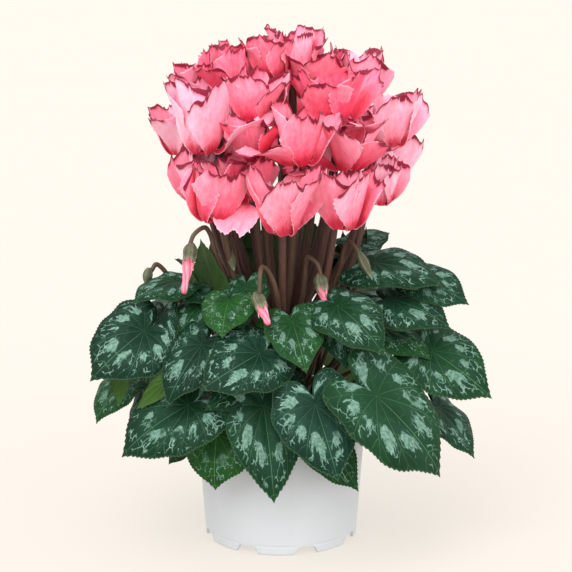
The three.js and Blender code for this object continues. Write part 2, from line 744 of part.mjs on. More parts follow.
function spindle(from, to, radii, sides) {
  const curve = new THREE.LineCurve3(from, to);
  const shares = radii.map((_, i) => i / (radii.length - 1));
  const radius = (share) => radii[Math.round(share * (radii.length - 1))];
  return stem(curve, shares, sides, radius, vec(1, 0.2, 0).normalize());
}

function budCalyx([top, tip]) {
  const [hang, end] = [point(top), point(tip)];
  const down = end.clone().sub(hang).normalize();
  const from = hang.clone().addScaledVector(down, -9);
  return spindle(from, hang.clone().addScaledVector(down, -GAP), [1.6, 4.6, 5.2, 4.2], 6);
}

// The rolled petals of a coloured bud.
function bud([top, tip], spare) {
  const radii = [3.8, 4.2, 3.6, 2.6, 1.6].map((r) => r + spare);
  return spindle(point(top), point(tip), radii, 6);
}

function greenBud([top, tip]) {
  return spindle(point(top).add(vec(0, 0, 4)), point(tip), [1.6, 3.8, 4.2, 3.4, 0.8], 5);
}

function tuberWithFlowerStalks() {
  const stalks = Object.values(BLOOMS).map(flowerStalk);
  const colouredBuds = Object.values(BUDS).flatMap((b) => [budStalk(b, 7), budCalyx(b)]);
  const greenBuds = GREEN_BUDS.flatMap((b) => [budStalk(b, 3), greenBud(b)]);
  return join([tuber(), ...stalks, ...colouredBuds, ...greenBuds]);
}

// ---------------------------------------------------------------- assembly

const material = (color, roughness, metalness = 0) =>
  new THREE.MeshStandardMaterial({ color, roughness, metalness });
const POT_WHITE = material(0xe9e8ec, 0.5);
const PEAT = material(0x33261c, 0.95);
const STALK_BROWN = material(0x55352d, 0.55);
const PETAL_PINK = material(0xff8aa0, 0.6);
const LEAF_GREEN = material(0x1f4a33, 0.55);

// Pieces are placed in this order, and each is cut clear of the ones before it where they would
// cross: a leaf or petal that would pass through another ends just behind it.
const placed = [];
const group = new THREE.Group();

function add(name, solid, cutter, look) {
  let clear = solid;
  for (const other of placed)
    if (boxesMeet(clear, other) && clear.intersect(other).volume() > 0) clear = clear.subtract(other);
  clear = largest(clear);
  placed.push(cutter);
  const mesh = new THREE.Mesh(geometryOf(clear), look);
  mesh.name = name;
  group.add(mesh);
}

const SPARE = 0.35; // how much fatter than itself a piece is when it cuts its neighbours

const potSolid = pot();
const soilSolid = soil();
const stalks = tuberWithFlowerStalks();
add("pot", potSolid, potSolid, POT_WHITE);
add("soil", soilSolid, soilSolid, PEAT);
add("tuber_with_flower_stalks", stalks, stalks, STALK_BROWN);
Object.entries(BLOOMS).forEach(([name, bloom], i) =>
  add("bloom_" + name, corolla(bloom, i, 0), corolla(bloom, i, SPARE), PETAL_PINK),
);
Object.entries(BUDS).forEach(([name, b]) => add("bud_" + name, bud(b, 0), bud(b, SPARE), PETAL_PINK));

const leaves = allLeaves();
leaves.forEach((leaf, i) => (leaf.number = i));
const skin = tuber(GAP); // the leaf stalks are cut off just over the tuber's skin
for (const shoot of shootsOf(leaves)) {
  const solid = shootSolid(shoot, 0).subtract(skin);
  add("leaves_" + shoot.name, solid, shootSolid(shoot, SPARE), LEAF_GREEN);
}

export default group;
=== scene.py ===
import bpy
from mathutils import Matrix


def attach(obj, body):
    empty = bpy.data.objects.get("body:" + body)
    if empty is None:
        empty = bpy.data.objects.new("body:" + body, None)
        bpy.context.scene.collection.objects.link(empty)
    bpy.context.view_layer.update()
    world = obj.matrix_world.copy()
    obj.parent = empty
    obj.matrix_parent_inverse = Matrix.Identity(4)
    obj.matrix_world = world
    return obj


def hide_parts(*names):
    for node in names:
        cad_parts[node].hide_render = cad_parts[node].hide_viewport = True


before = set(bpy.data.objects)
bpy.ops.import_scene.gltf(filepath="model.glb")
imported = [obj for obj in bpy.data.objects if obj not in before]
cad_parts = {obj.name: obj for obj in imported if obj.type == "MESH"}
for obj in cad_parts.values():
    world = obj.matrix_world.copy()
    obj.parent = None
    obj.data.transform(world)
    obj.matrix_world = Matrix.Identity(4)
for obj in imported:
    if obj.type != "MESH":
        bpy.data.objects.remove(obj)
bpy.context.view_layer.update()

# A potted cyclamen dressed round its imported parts: fine leaves with their silver pattern, nodding
# blooms with swept-back picotee petals, hanging buds, stalks, tuber, soil and a white plastic pot.
# Shapes are in millimetres in the part's own frame, and are turned into metres in one place, where
# a mesh is made. Materials and the camera are in metres.
from types import SimpleNamespace

import bpy
import numpy as np
from mathutils import Vector
from numpy import cos, cross, exp, hypot, interp, linspace, maximum, minimum, pi, radians, sin, stack, where

MM = 0.001

# ---- sizes shared with the solids

POT_HEIGHT = 110
POT_BASE = 61.5
POT_RIM = 71
POT_WALL = 1.8
POT_FLOOR = 2.2
BAND_HEIGHT = 13
BAND_STEP = 1.6
FOOT_HEIGHT = 6.5
PAD_RADIUS = 36
NOTCHES = 8
NOTCH_WIDTH = 17
NOTCH_TURN = 19
SOIL_TOP = 96
TUBER_NODE = "tuber_with_flower_stalks"
TUBER_RADIUS = 35
TUBER_HEIGHT = 30
TUBER_MIDDLE = 90

# Flower stalks: their radii from the tuber to the calyx, and how far out on the tuber they start.
STALK_RADII = (2.4, 2.7, 2.8, 2.7, 2.4, 2, 2.2, 4)
ROOT_SPREAD = 18
CROOK_BACK = 12
CROOK_TOP = 21
CALYX_LENGTH = 5
CALYX_GAP = 0.7
# Leafy shoots leave the tuber in two rings, those with low leaves from the outer one.
LOW_LEAF = 160
OUTER_RING = 29
INNER_RING = 23.5
STALK_ROOM = 4.6

PETAL_TURNS = (-137, -70, 0, 70, 137)
PETAL_FLARES = {0: 17, 70: 31, 137: 21}
PETAL_LENGTH = 42
PETAL_WRAP = 30
TUBE_TOP = 6.5
TUBE_RADIUS = 4.4
TUBE_MOUTH = 5.6
TUBE_LOW = -2.2

# Blooms: middle of the nose, size, lean out of the plant in degrees, how pale the petals are (from
# 0, coral, to 1, the palest pink), and the petals with a flare of their own, in degrees from the
# bloom's axis: some stand closer than the others, some lie out over their neighbours or hang.
BLOOMS = {
    "low_left": ((-52, -64, 272), 1.07, 5, 0.22, {1: 10, 2: 12}),
    "low_front": ((2, -84, 266), 1.15, 5, 0.45, {1: 15, 3: 17}),
    "low_right": ((48, -68, 267), 1.08, 5, 0.55, {1: 18}),
    "low_far_right": ((77, -38, 280), 0.84, 5, 0.75, {2: 12, 3: 14}),
    "side_right": ((82, 14, 288), 1, 8, 0.95, {1: 13, 2: 8}),
    "back_side_left": ((-60, -24, 276), 1.08, 6, 0.9, {1: 7, 2: 6}),
    "low_inner": ((-25, -50, 285), 0.88, 3, 0.5, {2: 128}),
    "mid_right": ((50, -50, 308), 0.94, 4, 0.28, {0: 88, 2: 52}),
    "mid_front": ((15, -62, 315), 1.1, 5, 0.42, {1: 84}),
    "mid_front_left": ((-20, -44, 315), 0.92, 2, 0.22, {4: 96}),
    "big_left": ((-57, -42, 321), 1.22, 5, 1.05, {4: 66}),
    "far_left": ((-79, 10, 312), 1, 6, 1, {}),
    "upper_far_left": ((-68, -2, 350), 0.8, 5, 0.65, {1: 6, 2: 3}),
    "upper_left": ((-41, -2, 355), 0.95, 2, 0.08, {3: 58}),
    "upper_front_left": ((-19, -36, 343), 1, 2, 0.45, {}),
    "upper_front_right": ((40, -34, 340), 1.1, 2, 0, {}),
    "far_right": ((86, -14, 322), 1, 5, 0.9, {0: 80}),
    "mid_far_right": ((55, -12, 314), 0.85, 4, 0.15, {}),
    "upper_right": ((60, 10, 350), 1, 4, 0.75, {}),
    "upper_middle": ((22, 2, 356), 0.95, 0, 0.35, {}),
    "top_front": ((-6, -6, 372), 0.9, 0, 0.25, {}),
    "top_back": ((13, 33, 366), 0.95, 2, 0.7, {}),
    "top_left": ((-27, 36, 362), 0.95, 6, 0.2, {}),
    "back_left": ((-58, 48, 310), 1, 8, 0.7, {}),
    "back_low_left": ((-32, 70, 280), 1.1, 8, 0.5, {}),
    "back_low_right": ((22, 76, 277), 1.1, 8, 0.45, {}),
    "back_right": ((62, 54, 300), 1.1, 8, 0.65, {}),
    "back_middle": ((0, 62, 328), 1.1, 6, 0.2, {0: 95}),
}

# Buds: top, tip, highest point of the bent stalk, and how far to the right the stalk comes up.
BUDS = {
    "left": ((-69, -69, 245), (-74, -72, 215), (-58, -60, 264), 0),
    "front": ((-16, -86, 211), (-9, -91, 195), (-14, -78, 237), 9),
    "right": ((31, -53, 218), (34, -56, 203), (21, -46, 238), 0),
}
GREEN_BUDS = (
    ((-41, -46, 240), (-36, -50, 228), (-40, -33, 252)),
    ((60, -44, 238), (70, -49, 222), (53, -36, 248)),
    ((-103, -29, 222), (-106, -32, 213), (-98, -25, 228)),
)

# Leaves: shoot, stalk end, tip, width share, how silver and how young it looks, and for some the
# roll about the line from stalk to tip, in degrees.
LEAVES = (
    ("front_low", (-13, -92, 132), (-5, -108, 62), 0.78, 1, 0.25, -8),
    ("front_small", (-49, -82, 107), (-51, -86, 64), 1.3, 0.35, 0.9),
    ("front_heart", (26, -110, 138), (43, -122, 84), 1.05, 1, 0),
    ("front_tucked", (26, -82, 110), (60, -82, 62), 0.7, 0.3, 0.6),
    ("right_tucked", (84, -50, 141), (61, -84, 109), 0.85, 0.7, 0.2),
    ("right_big", (72, -96, 141), (124, -80, 74), 0.86, 0.9, 0.3),
    ("right_low", (125, -28, 112), (153, -46, 78), 1.05, 0.6, 0.1),
    ("right_side", (118, -46, 163), (163, -60, 131), 1.05, 0.6, 0.3, 16),
    ("right_side", (80, -36, 180), (116, -54, 160), 1, 0.3, 0.5),
    ("front_upper_right", (43, -70, 205), (77, -104, 177), 0.9, 0.85, 0.2),
    ("front_upper", (9, -82, 195), (19, -112, 165), 0.9, 0.5, 0.6),
    ("left_centre", (-16, -92, 173), (-58, -118, 153), 1.05, 0.8, 0),
    ("left_low", (-60, -80, 177), (-86, -102, 136), 0.8, 0.6, 0),
    ("left_low", (-70, -86, 131), (-122, -84, 91), 1, 0.8, 0.1),
    ("left_side", (-105, -64, 184), (-144, -86, 152), 1.1, 0.8, 0, -20),
    ("left_fold", (-99, -42, 156), (-106, -60, 118), 0.65, 0.3, 0.5, 20),
    ("left_fold", (-92, -48, 192), (-86, -80, 160), 0.6, 0.7, 0, 10),
    ("left_far_low", (-123, -38, 137), (-145, -52, 108), 1.1, 0.5, 0.4),
    ("front_upper_left", (-40, -72, 209), (-44, -98, 188), 1.15, 0.3, 0.8),
    ("left_upright", (-52, -38, 208), (-60, -50, 252), 1, 0.3, 0.4, 160),
    ("left_upper", (-82, -42, 217), (-112, -66, 208), 0.95, 0.6, 0.2),
    ("right_upper", (73, -30, 230), (124, -46, 217), 1, 0.7, 0.1),
    ("right_curl", (88, -42, 203), (130, -60, 186), 1.05, 0.6, 0.1),
    ("right_curl", (110, -28, 218), (145, -46, 202), 0.95, 0.6, 0.1, 22),
    ("back_upper_right", (60, 20, 236), (88, 42, 241), 0.9, 0.5, 0.1),
)
# The back's tiers: first and last direction in degrees, count, first shoot, stalk end and tip as
# distance from the axis and height, width share.
BACK_TIERS = (
    (10, 174, 5, 1, (96, 128), (126, 72), 1),
    (8, 172, 5, 1, (94, 188), (150, 148), 0.9),
    (60, 128, 2, 2, (74, 222), (124, 208), 1),
)
# Small leaves between the others, which the solids leave out, in the same order of values. Their
# numbers, which all their draws hang on, start after those of the other leaves.
FIRST_SMALL = 60
SMALL_LEAVES = (
    ("front_upper", (3, -70, 188), (-2, -88, 152), 0.95, 0.3, 0.9),
    ("front_upper_left", (-27, -56, 216), (-31, -78, 188), 0.9, 0.5, 0.4),
    ("left_centre", (-8, -66, 150), (-56, -98, 132), 0.8, 0.5, 0.2),
    ("front_upper_right", (46, -60, 186), (50, -84, 160), 1, 0.6, 0.1),
    ("left_upper", (-66, -35, 218), (-80, -52, 238), 0.8, 0.1, 0.5, 160),
    ("left_far_low", (-106, -38, 126), (-118, -44, 98), 0.9, 0.4, 0.3),
    ("front_small", (-73, -60, 98), (-88, -60, 76), 0.9, 0.4, 0.2),
    ("left_upright", (-40, -30, 205), (-74, -58, 206), 0.9, 0.4, 0.1),
    ("left_fold", (-63, -50, 201), (-80, -68, 176), 0.9, 0.5, 0.3),
    ("left_far_low", (-124, -66, 147), (-125, -68, 126), 0.6, 0.1, 1, 140),
    ("left_low", (-86, -84, 150), (-110, -80, 127), 0.45, 0.1, 1, 140),
    ("back_4", (-30, 40, 203), (-36, 50, 250), 0.9, 0.4, 0.3),
    ("back_3", (19, 50, 205), (22, 66, 250), 0.9, 0.4, 0.2),
    ("back_2", (44, 40, 196), (52, 52, 238), 0.9, 0.4, 0.2),
    ("back_3", (-8, 54, 200), (-12, 76, 240), 0.95, 0.4, 0.2),
    ("back_4", (-38, 46, 204), (-54, 66, 238), 0.95, 0.4, 0.3),
    ("back_2", (32, 48, 204), (36, 74, 240), 0.95, 0.4, 0.2),
    ("back_1", (58, 22, 214), (70, 30, 246), 0.9, 0.4, 0.1),
)


def swing(i, k):
    """An even draw between -1 and 1: number k for piece i, the same on every run."""
    return sin(i * 2.39996 * (k + 1) + 1.7 * k)


def vec(*numbers):
    return np.array(numbers, float)


def unit(v):
    return v / np.linalg.norm(v, axis=-1, keepdims=True)


def smooth(x, low, high):
    t = np.clip((x - low) / (high - low), 0, 1)
    return t * t * (3 - 2 * t)


def turned(v, axis, degrees):
    """Vectors v turned about a unit axis."""
    a = radians(degrees)
    dot = np.sum(v * axis, axis=-1, keepdims=True)
    return v * cos(a) + cross(axis, v) * sin(a) + axis * dot * (1 - cos(a))


def softened(row, reach, ends):
    """A row of numbers with its corners rounded over reach numbers each way."""
    kernel = np.hanning(2 * reach + 1)
    return np.convolve(np.pad(row, reach, mode=ends), kernel / kernel.sum(), "valid")


def spline(points, count):
    """Points along a centripetal Catmull-Rom curve, as three.js draws it."""
    p = np.array([2 * points[0] - points[1], *points, 2 * points[-1] - points[-2]])
    t = linspace(0, len(points) - 1, count)
    i = minimum(t.astype(int), len(points) - 2)
    w = (t - i)[:, None]
    p0, p1, p2, p3 = p[i], p[i + 1], p[i + 2], p[i + 3]
    d0, d1, d2 = (maximum(np.sum((b - a) ** 2, axis=1, keepdims=True) ** 0.25, 1e-4)
                  for a, b in ((p0, p1), (p1, p2), (p2, p3)))
    m1 = ((p1 - p0) / d0 - (p2 - p0) / (d0 + d1) + (p2 - p1) / d1) * d1
    m2 = ((p2 - p1) / d1 - (p3 - p1) / (d1 + d2) + (p3 - p2) / d2) * d1
    return ((2 * w**3 - 3 * w**2 + 1) * p1 + (w**3 - 2 * w**2 + w) * m1
            + (-2 * w**3 + 3 * w**2) * p2 + (w**3 - w**2) * m2)


def bezier(a, b, c, d, t):
    t = t[..., None]
    return (1 - t) ** 3 * a + 3 * (1 - t) ** 2 * t * b + 3 * (1 - t) * t**2 * c + t**3 * d


# ---- meshes


def linked(name, data):
    """A new object in the scene."""
    made = bpy.data.objects.new(name, data)
    bpy.context.scene.collection.objects.link(made)
    return made


def mesh_of(name, points, faces, values, material):
    """A smooth object from points in millimetres, quads or triangles, and values per point."""
    mesh = bpy.data.meshes.new(name)
    mesh.vertices.add(len(points))
    mesh.vertices.foreach_set("co", (points * MM).astype(np.float32).ravel())
    sizes = np.concatenate([np.full(len(f), f.shape[1], np.int32) for f in faces])
    starts = np.concatenate([[0], np.cumsum(sizes)[:-1]]).astype(np.int32)
    corners = np.concatenate([f.ravel() for f in faces]).astype(np.int32)
    mesh.loops.add(len(corners))
    mesh.loops.foreach_set("vertex_index", corners)
    mesh.polygons.add(len(sizes))
    mesh.polygons.foreach_set("loop_start", starts)
    mesh.update(calc_edges=True)
    mesh.shade_smooth()
    for key, data in values.items():
        kind, field = ("FLOAT_VECTOR", "vector") if data.ndim == 2 else ("FLOAT", "value")
        attribute = mesh.attributes.new(key, kind, "POINT")
        attribute.data.foreach_set(field, data.astype(np.float32).ravel())
    mesh.materials.append(material)
    return linked(name, mesh)


def place(piece, node):
    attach(piece, "root")
    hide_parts(node)


class Heap:
    """Collects patches of one piece, then makes its mesh."""

    def __init__(self):
        self.points, self.faces, self.values, self.count = [], [], {}, 0

    def add(self, points, faces, **values):
        """Adds a patch; a value is one number for all its points, or a number or vector for each."""
        points = points.reshape(-1, 3)
        self.points.append(points)
        self.faces += [f + self.count for f in faces]
        self.count += len(points)
        for key, data in values.items():
            data = np.asarray(data, float)
            if data.ndim == 0:
                data = np.full(len(points), data)
            shape = (-1, 3) if data.size == 3 * len(points) else -1
            self.values.setdefault(key, []).append(data.reshape(shape))

    def join_last(self, count, loop, flip=False):
        """Closes the edge between the last two patches, of count points each, along a loop."""
        first = self.count - 2 * count + loop
        second = first + count
        quads = stack([first[:-1], first[1:], second[1:], second[:-1]], axis=-1)
        self.faces.append(quads[:, ::-1] if flip else quads)

    def piece(self, name, material):
        values = {key: np.concatenate(data) for key, data in self.values.items()}
        return mesh_of(name, np.concatenate(self.points), self.faces, values, material)


def angles(sides):
    return np.arange(sides) * 2 * pi / sides


def grid_faces(rows, columns, closed=True, flip=False):
    """Quads of a grid of rows x columns points, closed if the last column joins the first."""
    j, i = np.meshgrid(np.arange(rows - 1), np.arange(columns - (not closed)), indexing="ij")
    n = (i + 1) % columns
    corners = (j * columns + i, j * columns + n, (j + 1) * columns + n, (j + 1) * columns + i)
    quads = stack(corners, axis=-1).reshape(-1, 4)
    return quads[:, ::-1] if flip else quads


def cap(ring, hub, flip=False):
    """Triangles from a closed ring of point numbers to one point."""
    fan = stack([ring, np.roll(ring, -1), np.full(len(ring), hub)], axis=-1)
    return fan[:, ::-1] if flip else fan


def rod_faces(rows, sides):
    """Faces of a closed rod: its rings, and a cap at each end, whose hubs come after the rings."""
    ring, n = np.arange(sides), rows * sides
    return [grid_faces(rows, sides), cap(ring, n, flip=True), cap(n - sides + ring, n + 1)]


def turned_grid(profile, sides):
    """Points round Z through (radius, height) pairs, one ring for each."""
    a = angles(sides)
    r, z = np.array(profile, float).T[..., None]
    return stack([r * cos(a), r * sin(a), z + 0 * a], axis=-1)


def tube(heap, centres, radii, sides, tone):
    """A round stem through centres, with a radius and a tone at each."""
    along = unit(np.gradient(centres, axis=0))
    a = angles(sides)
    side = cross(along[0], (0.31, 0.87, 0.38))
    rings = []
    for centre, way, radius in zip(centres, along, radii):
        side = unit(side - way * (side @ way))
        ring = np.outer(cos(a), side) + np.outer(sin(a), cross(way, side))
        rings.append(centre + ring * radius)
    points = np.concatenate(rings + [centres[:1], centres[-1:]])
    tones = np.append(np.repeat(tone, sides), (tone[0], tone[-1]))
    heap.add(points, rod_faces(len(centres), sides), tone=tones)


# ---- materials


class Signal:
    """What comes out of a node. Numbers that nodes carry are reckoned with as plain ones are."""

    def __init__(self, nodes, socket):
        self.nodes, self.socket = nodes, socket

    def __add__(self, other):
        return self.nodes.math("ADD", self, other)

    def __sub__(self, other):
        return self.nodes.math("SUBTRACT", self, other)

    def __rsub__(self, other):
        return self.nodes.math("SUBTRACT", other, self)

    def __mul__(self, other):
        return self.nodes.math("MULTIPLY", self, other)

    def __abs__(self):
        return self.nodes.math("ABSOLUTE", self)

    __radd__ = __add__
    __rmul__ = __mul__


SOCKETS = {
    "rough": "Roughness", "specular": "Specular IOR Level", "sheen": "Sheen Weight",
    "subsurface": "Subsurface Weight", "radius": "Subsurface Radius", "scale": "Subsurface Scale",
    "glow": "Emission Color", "glow_strength": "Emission Strength",
}


class Nodes:
    """A material with short calls for its nodes. Its textures lie on the place on the object, in
    metres, or on a vector that the mesh's points carry."""

    def __init__(self, name, spot=None):
        self.material = bpy.data.materials.new(name)
        self.material.use_nodes = True
        self.tree = self.material.node_tree
        self.shader = self.tree.nodes["Principled BSDF"]
        self.spot = self.vector(spot) if spot else self.node("TexCoord", {}, "Object")

    def feed(self, socket, value):
        if isinstance(value, Signal):
            self.tree.links.new(value.socket, socket)
        elif socket.type == "RGBA":
            socket.default_value = (*value, 1)
        else:
            socket.default_value = value

    def node(self, kind, inputs, output=0, **settings):
        made = self.tree.nodes.new("ShaderNode" + kind)
        for key, value in settings.items():
            setattr(made, key, value)
        for key, value in inputs.items():
            self.feed(made.inputs[key], value)
        return Signal(self, made.outputs[output])

    def numbers(self, *keys):
        """The numbers that the mesh's points carry, by name."""
        return [self.node("Attribute", {}, "Fac", attribute_name=key) for key in keys]

    def vector(self, key):
        return self.node("Attribute", {}, "Vector", attribute_name=key)

    def math(self, operation, *values):
        return self.node("Math", dict(enumerate(values)), operation=operation)

    def off_middle(self, value):
        """How far a number's fraction is from a half: 0.5 at whole numbers, 0 half way between."""
        return abs(self.math("FRACT", value) - 0.5)

    def step(self, value, low, high, to=(0, 1)):
        """A smooth step from to[0] at low to to[1] at high."""
        inputs = {0: value, 1: low, 2: high, 3: to[0], 4: to[1]}
        return self.node("MapRange", inputs, interpolation_type="SMOOTHSTEP")

    def mix(self, share, a, b):
        return self.node("Mix", {0: share, 6: a, 7: b}, 2, data_type="RGBA")

    def paint(self, share, colour):
        """Lays a share of a colour over the body's colour so far."""
        self.body = self.mix(share, self.body, colour)

    def noise(self, scale, detail=3, rough=0.55, at=None):
        inputs = {"Vector": at or self.spot, "Scale": scale, "Detail": detail, "Roughness": rough}
        return self.node("TexNoise", inputs)

    def cells(self, scale, feature="F1", at=None):
        return self.node("TexVoronoi", {"Vector": at or self.spot, "Scale": scale}, feature=feature)

    def scaled(self, scale, at=None):
        return self.node("Mapping", {"Vector": at or self.spot, "Scale": scale})

    def surface(self, bump=None, **values):
        """Feeds the shader and gives the material; bump is a height, its strength and its depth."""
        self.feed(self.shader.inputs["Base Color"], self.body)
        for key, value in values.items():
            self.feed(self.shader.inputs[SOCKETS[key]], value)
        if bump:
            normal = self.node("Bump", dict(zip(("Height", "Strength", "Distance"), bump)))
            self.feed(self.shader.inputs["Normal"], normal)
        return self.material


def leaf_silver(m, polar, wide, fine, hair):
    """Where a blade is silver: a blotch in each field between two veins, and broken hairlines."""
    rho, cell, field, silver = m.numbers("rho", "cell", "field", "silver")
    # A blotch is smooth towards the stalk, and drawn out in short spikes towards the margin.
    rays = m.noise(1, 4, 0.7, m.scaled((11, 3, 1), polar))
    start = 0.47 - 0.13 * cell + 0.1 * field + 0.14 * fine
    limit = 0.08 + 0.8 * rays + 0.22 * cell + 0.12 * silver - 0.12 * field
    inside = m.step(cell - 0.25 * field + 0.6 * hair, 0.48, 0.57)
    blotch = m.step(rho - start, -0.012, 0.018) * m.step(limit - rho, -0.012, 0.012) * inside
    blotch = blotch * m.step(wide, 0.32, 0.4) * m.step(silver, 0.1, 0.8)
    # Hairlines are forked lines that run out to the margin.
    push = m.node("TexNoise", {"Vector": m.spot, "Scale": 9}, "Color")
    push = m.node("VectorMath", {0: push, "Scale": 0.8}, operation="SCALE")
    drawn = m.scaled((6, 6.5, 1), polar)
    drawn = m.node("VectorMath", {0: drawn, 1: push}, operation="ADD")
    web = m.cells(1, "DISTANCE_TO_EDGE", drawn)
    lines = m.step(web, 0.075, 0.03) * m.step(m.noise(7, 2), 0.47, 0.53)
    zone = m.step(rho, 0.42, 0.54) * m.step(rho, 0.96, 0.88) * m.step(cell, 0.1, 0.25)
    return m.math("MAXIMUM", blotch, lines * zone * 0.85)


VEIN_WIDTH = 0.026


def leaf_veins(m, polar, fine):
    """Where a blade has veins: main ones between the fields, side veins that leave them in chevrons."""
    rho, cell = m.numbers("rho", "cell")
    off = abs(m.node("SeparateXYZ", {0: polar}))
    main = m.step(cell * (rho + 0.2) * (1 / VEIN_WIDTH), 1, 0.45) * m.step(rho, 1, 0.7, (0.2, 1))
    main = main * m.step(off, 0.2, 0.35, (1, 0.62)) * m.step(off, 1.3, 2.4, (1, 0.5))
    saw = m.off_middle(rho * 4.6 - cell * (rho * 1.5) + fine * 0.5)
    branch = m.step(saw, 0.045, 0.012) * m.step(rho, 0.25, 0.4) * m.step(cell, 0.95, 0.55)
    return m.math("MAXIMUM", main, branch * 0.42)


def leaf_material():
    """Dark green blade with a silver pattern and pale veins, its underside lighter."""
    m = Nodes("leaf_blade", "spot")
    polar = m.vector("polar")
    rho, side, silver, young, tone = m.numbers("rho", "side", "silver", "young", "tone")
    wide = m.noise(2.2, 2)
    fine = m.noise(9, 3, 0.6)
    hair = m.noise(26, 2, 0.6)
    dark = m.mix(tone, (0.001, 0.02, 0.008), (0.004, 0.03, 0.017))
    fresh = m.mix(fine, (0.005, 0.05, 0.006), (0.017, 0.098, 0.012))
    m.body = m.mix(young, dark, fresh)
    m.paint(0.45 * m.step(wide, 0.42, 0.62), (0.001, 0.014, 0.006))
    shade = m.mix(m.step(hair, 0.3, 0.7), (0.09, 0.205, 0.148), (0.258, 0.41, 0.332))
    m.paint(leaf_silver(m, polar, wide, fine, hair) * 0.92, shade)
    haze = m.step(rho, 0.2, 0.5) * m.step(rho, 0.95, 0.6) * silver
    m.paint(0.3 * haze, (0.024, 0.078, 0.052))
    vein = leaf_veins(m, polar, fine)
    m.paint(vein * 0.86, m.mix(young, (0.085, 0.215, 0.12), (0.13, 0.29, 0.07)))
    m.paint(0.55 * m.step(rho, 0.975, 0.995), (0.06, 0.115, 0.05))
    under = m.mix(young, (0.02, 0.054, 0.02), (0.026, 0.092, 0.009))
    under = m.mix(m.math("MAXIMUM", vein, fine * 0.4), under, (0.095, 0.165, 0.05))
    under = m.mix(wide * 0.14, under, (0.08, 0.045, 0.035))
    height = 0.8 * fine - 0.35 * m.cells(34) - 0.9 * vein
    m.paint(side, under)
    return m.surface(rough=m.step(fine, 0.2, 0.9, (0.5, 0.64)), specular=0.12, bump=(height, 0.55, 0.0009))


def petal_material():
    """Coral pink petal: paler sides, a crimson foot, fine length lines and a dark crimson crest."""
    m = Nodes("petal", "spot")
    up, lip, rim, side, tone = m.numbers("up", "lip", "rim", "sideways", "tone")
    grain = m.noise(3, 4, 0.6)
    fine = m.noise(11, 3, 0.6)
    streak = m.noise(2.4, 2, 0.5, m.scaled((1, 9, 1)))
    pale = m.mix(grain, (0.99, 0.44, 0.585), (1, 0.62, 0.765))
    coral = m.mix(grain, (0.97, 0.04, 0.12), (1, 0.092, 0.208))
    share = 0.22 * m.step(up, 0.5, 0.95) + 0.2 * m.step(side, 0.35, 1) + 0.78 * tone + 0.6 * (grain - 0.62)
    m.body = m.mix(share, coral, pale)
    m.paint(0.25 * m.step(streak, 0.5, 0.75), (0.85, 0.075, 0.16))
    reach = up + 0.26 * (streak - 0.5) + 0.09 * side + 0.06 * tone
    m.paint(m.step(reach, 0.86, 0.58) * (0.6 - 0.38 * tone), (0.9, 0.045, 0.105))
    m.paint(0.95 * m.step(reach, 0.68, 0.49), (0.58, 0.005, 0.045))
    # The edge is pale and thin all round, and along the ruffled crest it is crimson and broader.
    m.paint(0.55 * m.step(lip, 0.75, 0.25), (1, 0.58, 0.66))
    edge = rim + 1.8 * (fine - 0.5)
    m.paint(0.52 * m.step(edge, 3.6, 1), (0.6, 0.022, 0.08))
    m.paint(m.step(edge, 1.6, 0.75), (0.225, 0.009, 0.038))
    return m.surface(rough=m.step(fine, 0.2, 0.8, (0.5, 0.66)), specular=0.28, sheen=0.1,
                     subsurface=0.1, radius=(1, 0.22, 0.3), scale=0.003,
                     bump=(0.9 * streak + 0.35 * fine, 0.45, 0.0009))


def stalk_material():
    """Maroon brown stalk with fine length lines, the greener the higher its tone."""
    m = Nodes("stalk")
    fine = m.noise(900, 2)
    line = m.noise(1, 3, 0.6, m.scaled((700, 700, 25)))
    m.body = m.mix(line, (0.034, 0.011, 0.008), (0.105, 0.042, 0.03))
    m.paint(m.step(line, 0.55, 0.75) * 0.3, (0.085, 0.068, 0.038))
    m.paint(*m.numbers("tone"), (0.13, 0.11, 0.055))
    return m.surface(rough=m.step(fine, 0.2, 0.8, (0.42, 0.62)), specular=0.4,
                     bump=(line + 0.5 * fine, 0.35, 0.0004))


def calyx_material():
    """Grey-green sepals with pale ends and brown length lines between them."""
    m = Nodes("calyx")
    share, around = m.numbers("share", "around")
    sepal = m.off_middle(around * PETALS)
    fine = m.noise(700, 3, 0.6)
    m.body = m.mix(m.step(sepal, 0.06, 0.42), (0.08, 0.085, 0.045), (0.12, 0.15, 0.08))
    m.paint(0.6 * m.step(share, 0.7, 1), (0.33, 0.38, 0.26))
    m.paint(0.7 * m.step(fine, 0.45, 0.7), (0.095, 0.045, 0.035))
    m.paint(m.step(sepal, 0.05, 0), (0.055, 0.03, 0.022))
    return m.surface(rough=m.step(fine, 0.2, 0.8, (0.45, 0.65)), specular=0.35,
                     bump=(fine + 1.2 * m.step(sepal, 0.5, 0.3), 0.5, 0.0006))


def bud_material():
    """Rolled petals of a bud: soft pink bands that wind round it, crimson at its foot and tip."""
    m = Nodes("bud")
    share, around = m.numbers("share", "around")
    fine = m.noise(420, 3, 0.6)
    band = m.math("FRACT", share * 1.6 + around * PETALS + fine * 0.12)
    seam = abs(band - 0.5)
    m.body = m.mix(m.step(band, 0.05, 0.9), (0.84, 0.16, 0.25), (0.97, 0.39, 0.49))
    m.paint(m.step(seam, 0.45, 0.5), (0.78, 0.12, 0.21))
    m.paint(0.8 * m.step(share, 0.34, 0.08), (0.5, 0.028, 0.09))
    m.paint(0.7 * m.step(share, 0.88, 1), (0.52, 0.03, 0.1))
    return m.surface(rough=m.step(fine, 0.2, 0.8, (0.46, 0.62)), specular=0.3,
                     subsurface=0.25, radius=(1, 0.3, 0.35), scale=0.004,
                     bump=(fine + 1.4 * m.step(seam, 0.5, 0.35), 0.5, 0.0008))


